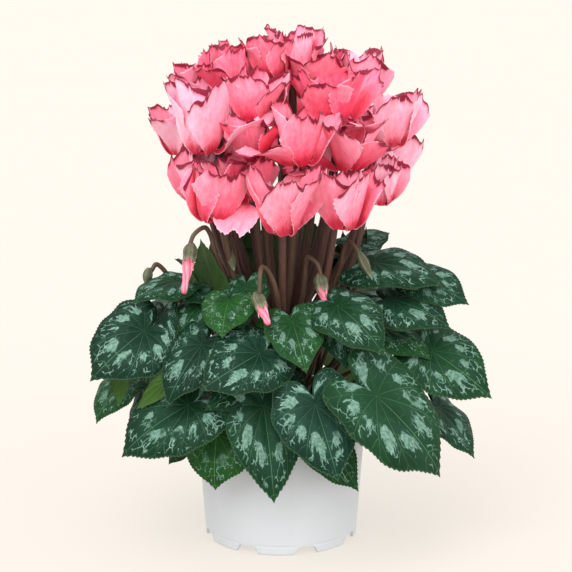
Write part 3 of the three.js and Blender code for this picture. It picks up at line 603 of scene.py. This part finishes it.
def pot_material():
    """White injection-moulded plastic: faint flow clouds, scuffs and a satin skin."""
    m = Nodes("pot_plastic")
    cloud = m.noise(22, 3, 0.6)
    skin = m.noise(1400, 2)
    drawn = m.noise(1, at=m.scaled((60, 60, 6)))
    scuff = m.noise(95, 5, 0.7)
    m.body = m.mix(cloud, (0.524, 0.55, 0.578), (0.572, 0.6, 0.622))
    m.paint(0.25 * m.step(drawn, 0.55, 0.8), (0.54, 0.542, 0.56))
    m.paint(0.3 * m.step(scuff, 0.68, 0.74), (0.52, 0.5, 0.48))
    return m.surface(rough=m.step(scuff, 0.3, 0.7, (0.4, 0.56)), specular=0.4,
                     subsurface=0.1, radius=(1, 1, 1), scale=0.003,
                     bump=(0.5 * skin + 0.6 * drawn, 0.18, 0.0004))


def soil_material():
    m = Nodes("peat_soil")
    crumb = m.noise(260, 6, 0.7)
    fibre = m.noise(1200, 3, 0.7)
    m.body = m.mix(m.step(crumb, 0.35, 0.7), (0.01, 0.007, 0.005), (0.07, 0.042, 0.026))
    m.paint(0.7 * m.step(fibre, 0.62, 0.74), (0.16, 0.1, 0.06))
    return m.surface(rough=m.step(crumb, 0.2, 0.8, (0.82, 0.98)), specular=0.2,
                     bump=(crumb + 0.8 * m.cells(420), 1, 0.003))


def tuber_material():
    m = Nodes("tuber_cork")
    crack = m.cells(150, "DISTANCE_TO_EDGE")
    cork = m.noise(190, 5, 0.65)
    m.body = m.mix(cork, (0.06, 0.034, 0.022), (0.19, 0.12, 0.08))
    m.paint(0.7 * m.step(crack, 0.07, 0), (0.02, 0.012, 0.008))
    return m.surface(rough=m.step(cork, 0.2, 0.8, (0.7, 0.92)), specular=0.25,
                     bump=(cork + m.step(crack, 0, 0.1), 0.8, 0.0016))


def floor_material():
    """Pale floor that glows, more than it reflects, so that it stays even up to the horizon and the shadows
    cast on it stay faint: painted light.
    """
    m = Nodes("studio_floor")
    m.body = m.mix(m.noise(1.3, 2), (0.22, 0.2, 0.18), (0.224, 0.204, 0.184))
    return m.surface(rough=0.9, specular=0, glow=(0.65, 0.612, 0.566), glow_strength=1)


# ---- leaves

# Half a leaf's outline: angle from the tip in degrees, distance from the stalk as a share of length.
LEAF_OUTLINE = ((0, 1.03), (6, 0.91), (18, 0.8), (41, 0.665), (72, 0.57), (105, 0.54), (137, 0.53),
                (162, 0.38), (180, 0.1))
VEINS = np.array([-180, -137.5, -100, -65, -32.5, 0, 32.5, 65, 100, 137.5, 180])
LEAF_TURNS = 144
LEAF_ROWS = 26
BLADE_THICKNESS = 0.75
# Degrees by which the lines from the stalk to the margin bend towards the tip.
SWEEP = 14
# Reliefs as shares of the leaf's length, and the depth of the margin's teeth as a share of reach.
ARCH = 0.2
SIDE_DROP = 0.3
TIP_DROP = 0.035
QUILT = 0.022
RIPPLE = 0.016
TEETH = 0.011
STALK_RADIUS = 1.6
STALK_STEP = 3.6


def outline_reach(turns, number):
    """Distance of the margin from the stalk as a share of the length, by angle from the tip."""
    angle, reach = np.array(LEAF_OUTLINE, float).T
    fine = np.arange(-180, 180, 0.5)
    raw = interp(abs(fine), angle, reach)
    sharp_tip = exp(-((fine / 7) ** 2))
    made = raw * sharp_tip + softened(raw, 14, "wrap") * (1 - sharp_tip)
    t = radians(fine)
    lobes = 0.022 * sin(5 * t + 4 * swing(number, 9)) + 0.016 * sin(9 * t + 5 * swing(number, 10))
    made = made * (1 + lobes * np.clip(abs(fine) / 25, 0, 1))
    return interp((turns + 180) % 360 - 180, fine, made)


def leaf_frame(leaf):
    """Directions along the leaf, across it and out of its upper face."""
    along = unit(leaf.tip - leaf.joint)
    middle = (leaf.joint + leaf.tip) / 2
    front = min(max(-middle[1] / 60, 0), 1)
    facing = unit(middle * (1, 1, 0)) * 0.6 + (0, -0.4 * front, 0.62)
    up = turned(unit(facing - along * (facing @ along)), along, leaf.roll)
    return along, cross(up, along), up


def leaf_rise(x, y, length, angle, rho, number):
    """The blade's large form: arched along, folded at the midrib, sides hanging, margin wavy."""
    t = x / length
    arch = ARCH * (1 + 0.5 * swing(number, 1)) * length * (t - t * t)
    fold = 0.1 * (1 + 0.6 * swing(number, 2)) * abs(y)
    sides = -SIDE_DROP * length * (y / length) ** 2
    wave = 2.2 * rho**2 * sin(3 * angle + 2.5 * swing(number, 3)) * (1 - maximum(t, 0))
    ripple = RIPPLE * length * rho**4 * sin(8 * angle + 3 * swing(number, 11))
    at_tip = exp(-((np.degrees(angle) / 22) ** 2))
    return arch + fold + sides + wave + ripple * (1 - at_tip) - TIP_DROP * length * rho**6


def vein_fields(a, number):
    """For each direction, how far it is from the main veins, 0 to 1, and its field's own draw."""
    k = np.clip(np.searchsorted(VEINS, a, side="right") - 1, 0, len(VEINS) - 2)
    low, high = VEINS[k], VEINS[k + 1]
    cell = 1 - abs(2 * (a - low) / (high - low) - 1)
    cell = where(abs(a) > 158, maximum(cell, 0.4), cell)
    draws = np.array([0.5 + 0.5 * swing(number * 10 + c, 40) for c in range(len(VEINS) - 1)])
    return cell, draws[k]


def with_hub(grid, hub=0):
    """A grid's values in one row, then that of the hub, where the stalk meets the blade."""
    return np.concatenate([grid.reshape(-1, *np.shape(hub)), [hub]])


def blade(heap, leaf):
    """One leaf blade with its two faces, quilted between the veins and finely toothed."""
    joint, number = leaf.joint, leaf.number
    along, across, up = leaf_frame(leaf)
    length = np.linalg.norm(leaf.tip - joint)
    columns = np.arange(LEAF_TURNS)
    a, rho = np.meshgrid(columns * 360 / LEAF_TURNS - 180, linspace(0.02, 1, LEAF_ROWS) ** 0.9)
    turn = a - SWEEP * sin(radians(a)) * rho**2
    angle = radians(turn)
    teeth = 1 + TEETH * where(columns % 2, -1, 1) * smooth(rho, 0.88, 1)
    reach = outline_reach(turn, number) * teeth * length * rho
    x = cos(angle) * reach
    y = sin(angle) * reach * leaf.width
    cell, field = vein_fields(a, number)
    quilt = QUILT * length * sin(cell * pi / 2) ** 1.3 * smooth(rho, 0.1, 0.5) * (1 - 0.6 * rho)
    rise = leaf_rise(x, y, length, angle, rho, number) + quilt
    centre = joint + x[..., None] * along + y[..., None] * across + rise[..., None] * up
    thin = BLADE_THICKNESS * (0.5 - 0.2 * rho[..., None] ** 8)
    # Each leaf takes its pattern from a layer of its own in the textures.
    layer, polar_layer = number * 3.7, number * 5.3
    spot = stack([x / length, y / length, 0 * x + layer], axis=-1)
    polar = stack([radians(a), rho, 0 * x + polar_layer], axis=-1)
    values = dict(rho=with_hub(rho), cell=with_hub(cell), field=with_hub(field),
                  spot=with_hub(spot, (0, 0, layer)), polar=with_hub(polar, (0, 0, polar_layer)),
                  silver=leaf.silver, young=leaf.young, tone=0.5 + 0.5 * swing(number, 12))
    for sign in (1, -1):
        points = with_hub(centre + up * thin * sign, joint + up * BLADE_THICKNESS / 2 * sign)
        faces = [grid_faces(*rho.shape, flip=sign > 0), cap(columns, rho.size, flip=sign < 0)]
        heap.add(points, faces, side=float(sign < 0), **values)
    last_row = rho.size - LEAF_TURNS
    heap.join_last(rho.size + 1, last_row + np.append(columns, 0))


def petiole(heap, root, leaf):
    """The leaf's stalk, from the tuber's shoulder to the underside of the blade."""
    along, _, up = leaf_frame(leaf)
    rise = np.linalg.norm(leaf.joint - root)
    leave = root + root * (0.4, 0.4, 0) + (0, 0, rise * 0.36)
    arrive = leaf.joint - along * rise * 0.12 - up * rise * 0.22
    end = leaf.joint - up * 1.1
    t = linspace(0, 1, 30)
    slim = min(STALK_RADIUS, 0.03 * np.linalg.norm(leaf.tip - end))
    radii = (STALK_RADIUS + (slim - STALK_RADIUS) * t) * (1 - 0.25 * smooth(t, 0.93, 1))
    tube(heap, bezier(root, leave, arrive, end, t), radii, 9, 0.25 + 0.45 * t)


def tuber_top(radius):
    return TUBER_MIDDLE + TUBER_HEIGHT / 2 * np.sqrt(max(1 - (radius / TUBER_RADIUS) ** 2, 0))


def leaf_of(number, shoot, joint, tip, width, silver, young, roll=0):
    return SimpleNamespace(number=number, shoot=shoot, joint=vec(*joint), tip=vec(*tip), width=width,
                           silver=silver, young=young, roll=roll)


def all_leaves():
    rows = list(LEAVES)
    for start, end, count, first, joint, tip, width in BACK_TIERS:
        for i in range(count):
            turn = start + (end - start) * i / (count - 1)
            ends = [(far * cos(a), far * sin(a), height) for (far, height), a in
                    ((joint, radians(turn)), (tip, radians(turn + 5 * swing(i, 4))))]
            silver, young = 0.6 + 0.4 * swing(i, 13), max(0.3 * swing(i + first, 14), 0)
            rows.append((f"back_{first + i}", *ends, width, silver, young, 6 * swing(i, 5)))
    return [leaf_of(i, *row) for i, row in enumerate(rows)]


def make_room(ring, room):
    """Pushes the shoots of a ring apart until each leaf stalk has its room, an angle in radians."""
    for _ in range(60):
        for i, shoot in enumerate(ring):
            follower = ring[(i + 1) % len(ring)]
            over = 2 * pi if i + 1 == len(ring) else 0
            need = room * (len(shoot.own) + len(follower.own)) / 2
            short = max(need - (follower.turn + over - shoot.turn), 0)
            shoot.turn -= short / 2
            follower.turn += short / 2


def shoots_of(leaves):
    """The leaves gathered into shoots, each with the place where it leaves the tuber."""
    shoots = []
    for name in dict.fromkeys(leaf.shoot for leaf in leaves):
        own = [leaf for leaf in leaves if leaf.shoot == name]
        middle = sum(leaf.joint for leaf in own)
        shoots.append(SimpleNamespace(name=name, own=own, turn=np.arctan2(middle[1], middle[0]),
                                      low=middle[2] / len(own) < LOW_LEAF))
    for low, radius in ((True, OUTER_RING), (False, INNER_RING)):
        ring = sorted((s for s in shoots if s.low == low), key=lambda s: s.turn)
        make_room(ring, STALK_ROOM / radius)
        for s in ring:
            s.tangent = vec(-sin(s.turn), cos(s.turn), 0)
            s.root = vec(cos(s.turn) * radius, sin(s.turn) * radius, tuber_top(radius) - 2)
    return shoots


def foliage(blade_look, stalk_look):
    small = [leaf_of(FIRST_SMALL + i, *row) for i, row in enumerate(SMALL_LEAVES)]
    for shoot in shoots_of(all_leaves()):
        root, tangent = shoot.root, shoot.tangent
        own = sorted(shoot.own, key=lambda leaf: leaf.joint @ tangent / hypot(*leaf.joint[:2]))
        extra = [leaf for leaf in small if leaf.shoot == shoot.name]
        starts = [root + tangent * STALK_STEP * (i - (len(own) - 1) / 2) for i in range(len(own))]
        starts += [root * (0.88, 0.88, 1) + (0, 0, 0.8)] * len(extra)
        blades, stalks = Heap(), Heap()
        for leaf, start in zip(own + extra, starts):
            blade(blades, leaf)
            petiole(stalks, start, leaf)
        node = "leaves_" + shoot.name
        place(blades.piece("blades_" + shoot.name, blade_look), node)
        place(stalks.piece("leafstalks_" + shoot.name, stalk_look), node)


# ---- blooms

PETALS = len(PETAL_TURNS)
PETAL_ROWS = 24
PETAL_COLUMNS = 65
PETAL_THICKNESS = 0.5
# Half a petal's width at each tenth of its length, and how far its free edge stands off.
WIDTHS = (2.6, 2.8, 3.2, 4, 5.8, 9.2, 13.4, 17.4, 20.4, 21.4, 18.6, 16)
STAND_ROWS = (0, 0.36, 0.7, 1)
STANDS = (0.2, 1.2, 3.2, 5.4)
# A petal that hangs further out than this turns its smooth, pale edge to the front.
PLAIN_FLARE = radians(110)
CURL_UP = 3.2
CURL_BACK = 2.6
THROAT_SIDES = 40
STALK_ROWS = 64


def bloom_frame(at, lean):
    """A bloom's place, and its directions out of the plant, across and up."""
    turn, lean = np.arctan2(at[1], at[0]), radians(lean)
    outward = vec(cos(turn), sin(turn), 0)
    up = outward * sin(lean) + (0, 0, cos(lean))
    across = unit(cross(up, outward))
    return vec(*at), np.array([cross(across, up), across, up])


def petal_top(u, phase, crest):
    """Height of a petal's top edge: rounded, toothed shoulders and a crest with sharp flames."""
    jags = 0.018 * sin(5 * u + phase) + 0.01 * sin(11 * u + 2 * phase)
    fringe = 0.0055 * (1 - 0.7 * crest) * sin(45 * u + 5 * phase + 2 * sin(9 * u))
    broad = 0.05 * maximum(sin(7 * u + 1.5 * sin(4 * u + phase) + 4 * phase), 0) ** 8
    slim = 0.032 * maximum(sin(13 * u + 2 * sin(5 * u) - phase), 0) ** 10
    return 1 - 0.2 * abs(u) ** 2.6 + jags + fringe + crest * (broad + slim)


def petal_line(s, size, length, flare):
    """A petal's middle line and its slope: out of the tube, round the nose and swept up."""
    knots = (vec(4, 0, 1) * size, vec(10, 0, -8) * size, vec(12.5, 0, 9) * size,
             vec(8 * size + length * sin(flare), 0, length * cos(flare)))
    inner = minimum(s, 1)
    centre = bezier(*knots, inner)
    slope = unit(centre - bezier(*knots, inner - 1e-3))
    return centre + slope * ((s - inner) * length * 1.2)[..., None], slope


def petal_relief(u, s, key, phase, strength):
    """How far a petal of size 1 stands off its smooth form: ruffles, pleats, one fold and a bend."""
    ruffle = strength * (2.4 * s**4 * sin(3.4 * u + 2 * phase) + 1.3 * s**8 * sin(9 * u + 4 * phase))
    pleat = 0.45 * sin(7 * u + phase) * smooth(s, 0.1, 0.4) * (1 - 0.5 * s)
    fold = -1.1 * exp(-(((u - 0.2 * swing(key, 33)) / 0.16) ** 2)) * smooth(s, 0.4, 0.6) * (1 - 0.5 * s)
    bend = 5.5 * swing(key, 28) * smooth(s, 0.45, 1.1)
    return ruffle + pleat + fold + bend


def petal_sheet(heap, bloom_at, point, share, values):
    """A petal's two faces, which come closer towards its edge, and the rim between them."""
    at, axes = bloom_at
    facing = unit(cross(np.gradient(point, axis=0), np.gradient(point, axis=1)))
    thin = PETAL_THICKNESS * (0.5 - 0.25 * share[..., None] ** 6)
    for sign in (1, -1):
        world = at + (point + facing * thin * sign) @ axes
        heap.add(world, [grid_faces(*share.shape, closed=False, flip=sign < 0)], **values)
    n = np.arange(share.size).reshape(share.shape)
    rim = np.concatenate([n[0], n[1:, -1], n[-1, -2::-1], n[-2::-1, 0]])
    heap.join_last(share.size, rim, flip=True)


def petal(heap, bloom_at, size, number, k, flare, shade):
    """One swept-back petal: a broad fan on a narrow foot, its top fringe partly curled over."""
    key, degrees = number * PETALS + k, PETAL_TURNS[k]
    inner_petal = abs(degrees) > 90
    flare = radians(flare or PETAL_FLARES[abs(degrees)] + 8 * swing(key, 7))
    length = PETAL_LENGTH * size * (1 + 0.09 * swing(key, 25))
    phase = 3.1 * swing(key, 21)
    # u runs across the petal from -1 to 1, share and s up it, share from foot to edge and s in
    # petal lengths.
    rows = 1 - (1 - linspace(0, 1, PETAL_ROWS)) ** 1.35
    u, share = np.meshgrid(linspace(-1, 1, PETAL_COLUMNS), rows)
    crest = smooth(abs(u - 0.25 * swing(key, 32)), 1.02, 0.6) * (flare < PLAIN_FLARE)
    top = petal_top(u, phase, crest)
    s = share * top
    centre, slope = petal_line(s, size, length, flare)
    normal = stack([slope[..., 2], 0 * s, -slope[..., 0]], axis=-1)

    wider = 1 + 0.12 * swing(key, 22) + 0.1 * u * swing(key, 27)
    half = size * interp(s * 10, range(len(WIDTHS)), WIDTHS) * wider
    narrow = where(inner_petal & (u * degrees > 0), 0.75, 1)
    y = u * narrow * half * (1 + 0.04 * sin(34 * s * pi + phase) * abs(u) ** 8)
    # The petals overlap like a pinwheel: one edge lies under its neighbour, the other stands free.
    out = u if swing(number, 30) > 0 else -u
    wrap = where(out < 0, maximum(centre[..., 0] * 0.95 - 1, 5), PETAL_WRAP * size * 1.4)
    strength = 0.7 + 0.5 * inner_petal + 0.3 * swing(key, 26)
    curl = size * maximum(sin(4.4 * u + 3 * phase), 0) ** 2 * smooth(share, 0.84, 1)
    way = 1 if swing(key, 23) > -0.4 else -1
    lift = size * (out * interp(s, STAND_ROWS, STANDS) + petal_relief(u, s, key, phase, strength))
    lift = lift - wrap * (1 - cos(y / wrap)) + way * curl * CURL_UP * strength
    point = centre + normal * lift[..., None] - slope * (curl * CURL_BACK)[..., None]
    point[..., 1] += wrap * sin(y / wrap)
    point = turned(point, vec(0, 0, 1), degrees + 7 * swing(key, 8))

    edge = (1 - share) * top * length * 1.15
    values = dict(up=s, sideways=abs(u), lip=minimum(edge, (1 - abs(u)) * half),
                  rim=edge - curl / size * 2.6 + 7 * (1 - crest),
                  tone=np.clip(shade + 0.22 * swing(key, 24), 0, 1),
                  spot=stack([s * length / 10, y / 10, 0 * s + key * 2.3], axis=-1))
    petal_sheet(heap, bloom_at, point, share, values)


def throat(heap, bloom_at, size, number):
    """The short crimson tube under the petals; its top is closed but for the stalk's end."""
    at, axes = bloom_at
    mouth = TUBE_MOUTH * size
    upper = [(0.5, TUBE_TOP), (3, TUBE_TOP), (TUBE_RADIUS, TUBE_TOP - 0.8), (TUBE_RADIUS, 3)]
    lower = [(mouth * 0.96, -0.6), (mouth, TUBE_LOW), (mouth + 0.7, TUBE_LOW + 0.3), (mouth + 0.5, -0.2)]
    points = turned_grid(upper + lower, THROAT_SIDES)
    lobes = 1 + 0.05 * cos(PETALS * angles(THROAT_SIDES) - 0.4)
    points[len(upper):, :, :2] *= lobes[:, None]
    heap.add(at + points @ axes, [grid_faces(*points.shape[:2])],
             up=0.05, lip=9, sideways=0, rim=9, tone=0.3, spot=0 * points + (0.3, 0.2, number * 1.9))


def stalk_root(under):
    """Where on the tuber a stalk starts that comes up to a place, more to the middle than that."""
    reach = hypot(under[0], under[1])
    radius = ROOT_SPREAD * min(reach / 80, 1)
    scale = radius / max(reach, 1)
    return vec(under[0] * scale, under[1] * scale, tuber_top(radius) - 3)


def flower_stalk(heap, bloom_at, number):
    at, axes = bloom_at

    def local(x, z):
        return at + vec(x, 0, z) @ axes

    under = local(-CROOK_BACK, -8)
    seat = TUBE_TOP + CALYX_GAP
    root = stalk_root(under)
    low = root * (1.3, 1.3, 1) + (0, 0, (under[2] - root[2]) * 0.36)
    middle = low + (local(-CROOK_BACK, -55) - low) * 0.62
    points = [root, low, middle, under, local(-CROOK_BACK, 11), local(-CROOK_BACK * 0.6, CROOK_TOP),
              local(0, seat + CALYX_LENGTH), local(0, seat)]
    radii = interp(linspace(0, len(points) - 1, STALK_ROWS), range(len(points)), STALK_RADII)
    tone = np.full(STALK_ROWS, 0.08 + 0.1 * swing(number, 31))
    tube(heap, spline(points, STALK_ROWS), radii, 10, tone)


def blooms(petal_look):
    """Makes every bloom, and gives the heap of their stalks, which grow from one tuber."""
    stalks = Heap()
    for number, (name, (at, size, lean, shade, flares)) in enumerate(BLOOMS.items()):
        heap = Heap()
        here = bloom_frame(at, lean)
        throat(heap, here, size, number)
        for k in range(PETALS):
            petal(heap, here, size, number, k, flares.get(k), shade)
        place(heap.piece("petals_" + name, petal_look), "bloom_" + name)
        flower_stalk(stalks, here, number)
    return stalks


# ---- buds

BUD_STALK_ROWS = 60
SPINDLE_ROWS = 40
SPINDLE_SIDES = 40
CALYX_RADII = (1.6, 3.6, 5, 5.3, 4.9, 4.5)
ROLLED_RADII = (3.7, 4.2, 3.9, 3.3, 2.7, 2.1, 2.4, 1.2)
GREEN_RADII = (1.4, 2.8, 3.5, 3.6, 3, 1.8, 0.5)


def bud_stalk(heap, top, crest, calyx_length, aside=0):
    """A bud's stalk: up from the tuber, over in a round crook and down into the calyx."""
    behind = crest * (0.86, 0.86, 1) + (aside, 0, -24)
    root = stalk_root(behind)
    low = behind * (0.45, 0.45, 0) + (0, 0, (root[2] + behind[2]) / 2)
    inner = (crest + behind) / 2 + (0, 0, 6)
    outer = (top * 0.72 + crest * 0.28) * (1, 1, 0) + (0, 0, crest[2] - 4.5)
    points = [root, low, behind, inner, crest, outer, top + (0, 0, calyx_length)]
    share = linspace(0, 1, BUD_STALK_ROWS)
    tube(heap, spline(points, BUD_STALK_ROWS), 2.2 - 0.55 * share, 9, 0.08 + 0.2 * share)


def spindle(heap, start, end, radii, twist, depth, points_out=0):
    """A slim body between two points, with ridges that wind round it and, maybe, a pointed rim."""
    t = linspace(0, 1, SPINDLE_ROWS)
    r = softened(interp(t, linspace(0, 1, len(radii)), radii), 4, "edge")
    along = unit(end - start)
    side = unit(cross(along, (0.2, 0.1, 1)) + 1e-6)
    tt, aa = np.meshgrid(t, angles(SPINDLE_SIDES), indexing="ij")
    rr = r[:, None] * (1 + depth * abs(sin((aa * PETALS + twist * tt) / 2)))
    rim = points_out * tt**5 * (abs(sin(aa * PETALS / 2)) - 0.4)
    points = (start + tt[..., None] * (end - start) + rim[..., None] * along
              + (cos(aa) * rr)[..., None] * side + (sin(aa) * rr)[..., None] * cross(along, side))
    heap.add(np.concatenate([points.reshape(-1, 3), [start, end]]), rod_faces(*tt.shape),
             share=np.append(tt, (0, 1)), around=np.append(aa / (2 * pi), (0, 0)))


def buds(stalks, bud_look, calyx_look):
    calyxes = Heap()
    for name, (top, tip, crest, aside) in BUDS.items():
        top, tip = vec(*top), vec(*tip)
        down = unit(tip - top)
        bud_stalk(stalks, top, vec(*crest), 7, aside)
        spindle(calyxes, top - down * 9, top + down * 2.5, CALYX_RADII, 0, 0.1, 5)
        heap = Heap()
        spindle(heap, top + down * 0.3, tip, ROLLED_RADII, 10, 0.16)
        place(heap.piece("rolled_petals_" + name, bud_look), "bud_" + name)
    for top, tip, crest in GREEN_BUDS:
        bud_stalk(stalks, vec(*top), vec(*crest), 3)
        spindle(calyxes, vec(*top) + (0, 0, 4), vec(*tip), GREEN_RADII, 1.5, 0.14)
    place(calyxes.piece("bud_calyxes", calyx_look), TUBER_NODE)


# ---- pot, soil, tuber

POT_SIDES = 192
SOIL_SIDES = 160
SOIL_LOW = 9.2
# Turned profiles start just off the axis.
HUB = 0.01


def wall(z, out=0):
    """A point of the pot's outer wall at a height, or so far outside it."""
    return POT_BASE + (POT_RIM - BAND_STEP - POT_BASE) / POT_HEIGHT * z + out, z


def whole(name, points, look, node, flip=False):
    """A piece of one closed grid of points."""
    heap = Heap()
    heap.add(points, [grid_faces(*points.shape[:2], flip=flip)])
    place(heap.piece(name, look), node)


def notched(x, y, z):
    """The pot's heights, with the foot's lower edge raised in the drain notches."""
    step = 360 / NOTCHES
    turn = np.degrees(angles(POT_SIDES))
    arc = radians(abs((turn + 90 - NOTCH_TURN + step / 2) % step - step / 2)) * POT_BASE
    open_share = 1 - smooth(arc, NOTCH_WIDTH / 2 - 1.6, NOTCH_WIDTH / 2 + 1)
    foot = (hypot(x, y) > POT_BASE - 4.5) & (z < FOOT_HEIGHT)
    return where(foot, maximum(z, (FOOT_HEIGHT - 0.25) * open_share), z)


def pot(look):
    band = POT_HEIGHT - BAND_HEIGHT
    edge, _ = wall(band)
    inner = POT_BASE - POT_WALL - 0.6
    floor = FOOT_HEIGHT + POT_FLOOR
    foot = [(HUB, 0), (PAD_RADIUS, 0), (PAD_RADIUS + 4, FOOT_HEIGHT), (inner - 0.2, FOOT_HEIGHT),
            (inner, 4), (inner, 2), (inner, 0), (inner + 0.5, 0), (POT_BASE - 0.5, 0), (POT_BASE, 0.5)]
    # A fine groove runs round the wall over the foot.
    side = [wall(1.5), wall(3), wall(5), wall(6.6), wall(6.9, -0.2), wall(7.1, -0.2)]
    side += [wall(z) for z in (7.5, 9, 20, 40, 60, 80, band - 1, band)]
    rim = [(edge + 0.3, band + 0.1), (edge + BAND_STEP - 0.3, band + 0.9), (edge + BAND_STEP, band + 1.3)]
    rim += [(POT_RIM - in_by, POT_HEIGHT - down_by) for in_by, down_by in
            ((0.1, 1), (0.2, 0.3), (0.6, 0), (POT_WALL - 0.5, 0), (POT_WALL, 0.5))]
    inside = [(edge - POT_WALL + 0.3, band), wall(80, -POT_WALL), wall(40, -POT_WALL),
              (wall(FOOT_HEIGHT)[0] - POT_WALL - 1, floor), (PAD_RADIUS + 2.5, floor),
              (PAD_RADIUS - 1.5, POT_FLOOR), (HUB, POT_FLOOR)]
    points = turned_grid(foot + side + rim + inside, POT_SIDES)
    points[..., 2] = notched(*points.transpose(2, 0, 1))
    whole("pot_body", points, look, "pot")


def crumbled(x, y, z):
    """The soil's heights, with crumbs on top and a dip round the tuber."""
    r = hypot(x, y)
    rough = 0.35 * (sin(x * 0.9 + 2 * sin(y * 0.6)) + sin(y * 1.1 + 1.7 * sin(x * 0.7))
                    + 0.8 * sin(x * 2.3 + y * 1.9) + 0.7 * sin(x * 3.1 - y * 2.7))
    dip = 3 * (1 - smooth(r, 30, 40))
    return z + where(z > SOIL_TOP - 2, rough * smooth(68 - r, 0, 4) - dip, 0)


def soil(look):
    """Peat that fills the pot up to the tuber, a little lower towards the wall."""
    radii = np.concatenate([linspace(61, 67, 6)[::-1], linspace(24, 60, 44)[::-1]])
    filled = [(HUB, SOIL_LOW), (wall(10, -POT_WALL - 2.2)[0], SOIL_LOW), wall(60, -POT_WALL - 0.8)]
    top = [(r, SOIL_TOP + 1.6 - 0.2 * max(r - 55, 0)) for r in radii]
    points = turned_grid(filled + top, SOIL_SIDES)
    points[..., 2] = crumbled(*points.transpose(2, 0, 1))
    whole("potting_soil", points, look, "soil")


def tuber(look):
    """The flattened corky tuber that carries everything."""
    theta, phi = np.meshgrid(linspace(0.02, pi - 0.02, 40), angles(72), indexing="ij")
    x, y, z = sin(theta) * cos(phi), sin(theta) * sin(phi), cos(theta)
    lump = 1 + 0.03 * sin(x * 5 + 1) * sin(y * 6 + 2) * (1 - z * z)
    r = (TUBER_RADIUS - 1.9) * (lump + 0.012 * sin(11 * x + 7 * y + 5 * z))
    points = stack([x * r, y * r, TUBER_MIDDLE + z * (TUBER_HEIGHT / 2 - 0.2)], axis=-1)
    whole("tuber", points, look, TUBER_NODE, flip=True)


# ---- stage, light, camera

VIEW_TARGET = (0.004, 0, 0.205)
VIEW_DISTANCE = 1.5
VIEW_DOWN = 12.5
VIEW_LENS = 118
SENSOR = 36
FAR = 100
FLOOR_REACH = 30000
FLOOR_DROP = 0.4
WORLD_LIGHT = 1.22


def stage():
    corners = FLOOR_REACH * np.array([[-1, -1, 0], [1, -1, 0], [1, 1, 0], [-1, 1, 0]])
    floor = mesh_of("floor", corners, [np.array([[0, 1, 2, 3]])], {}, floor_material())
    floor.location.z = -FLOOR_DROP * MM
    world = bpy.data.worlds.new("studio")
    world.use_nodes = True
    background = world.node_tree.nodes["Background"]
    background.inputs["Color"].default_value = (1, 1, 1, 1)
    background.inputs["Strength"].default_value = WORLD_LIGHT
    bpy.context.scene.world = world
    lamp("key", (-0.5, -1, 1.3), 1.8, 45)
    lamp("fill", (0.9, -1.2, 0.5), 1, 60)
    bpy.context.scene.view_settings.view_transform = "Standard"
    bpy.context.scene.view_settings.look = "None"


def lamp(name, source, power, spread):
    """Soft even light from a direction, the same over the whole floor; spread is in degrees."""
    light = bpy.data.lights.new(name, "SUN")
    light.energy = power
    light.angle = radians(spread)
    linked(name, light).rotation_euler = (-Vector(source)).to_track_quat("-Z", "Y").to_euler()


def camera():
    """A camera in front of the target, looking down on it by the photograph's angle."""
    eye = linked("camera", bpy.data.cameras.new("camera"))
    x, y, z = VIEW_TARGET
    down = radians(VIEW_DOWN)
    eye.location = (x, y - VIEW_DISTANCE * cos(down), z + VIEW_DISTANCE * sin(down))
    eye.rotation_euler = (radians(90) - down, 0, 0)
    eye.data.lens = VIEW_LENS
    eye.data.sensor_width = SENSOR
    eye.data.clip_end = FAR
    bpy.context.scene.camera = eye


def build():
    stalk_look = stalk_material()
    stalks = blooms(petal_material())
    buds(stalks, bud_material(), calyx_material())
    place(stalks.piece("flower_stalks", stalk_look), TUBER_NODE)
    foliage(leaf_material(), stalk_look)
    pot(pot_material())
    soil(soil_material())
    tuber(tuber_material())
    stage()
    camera()


build()
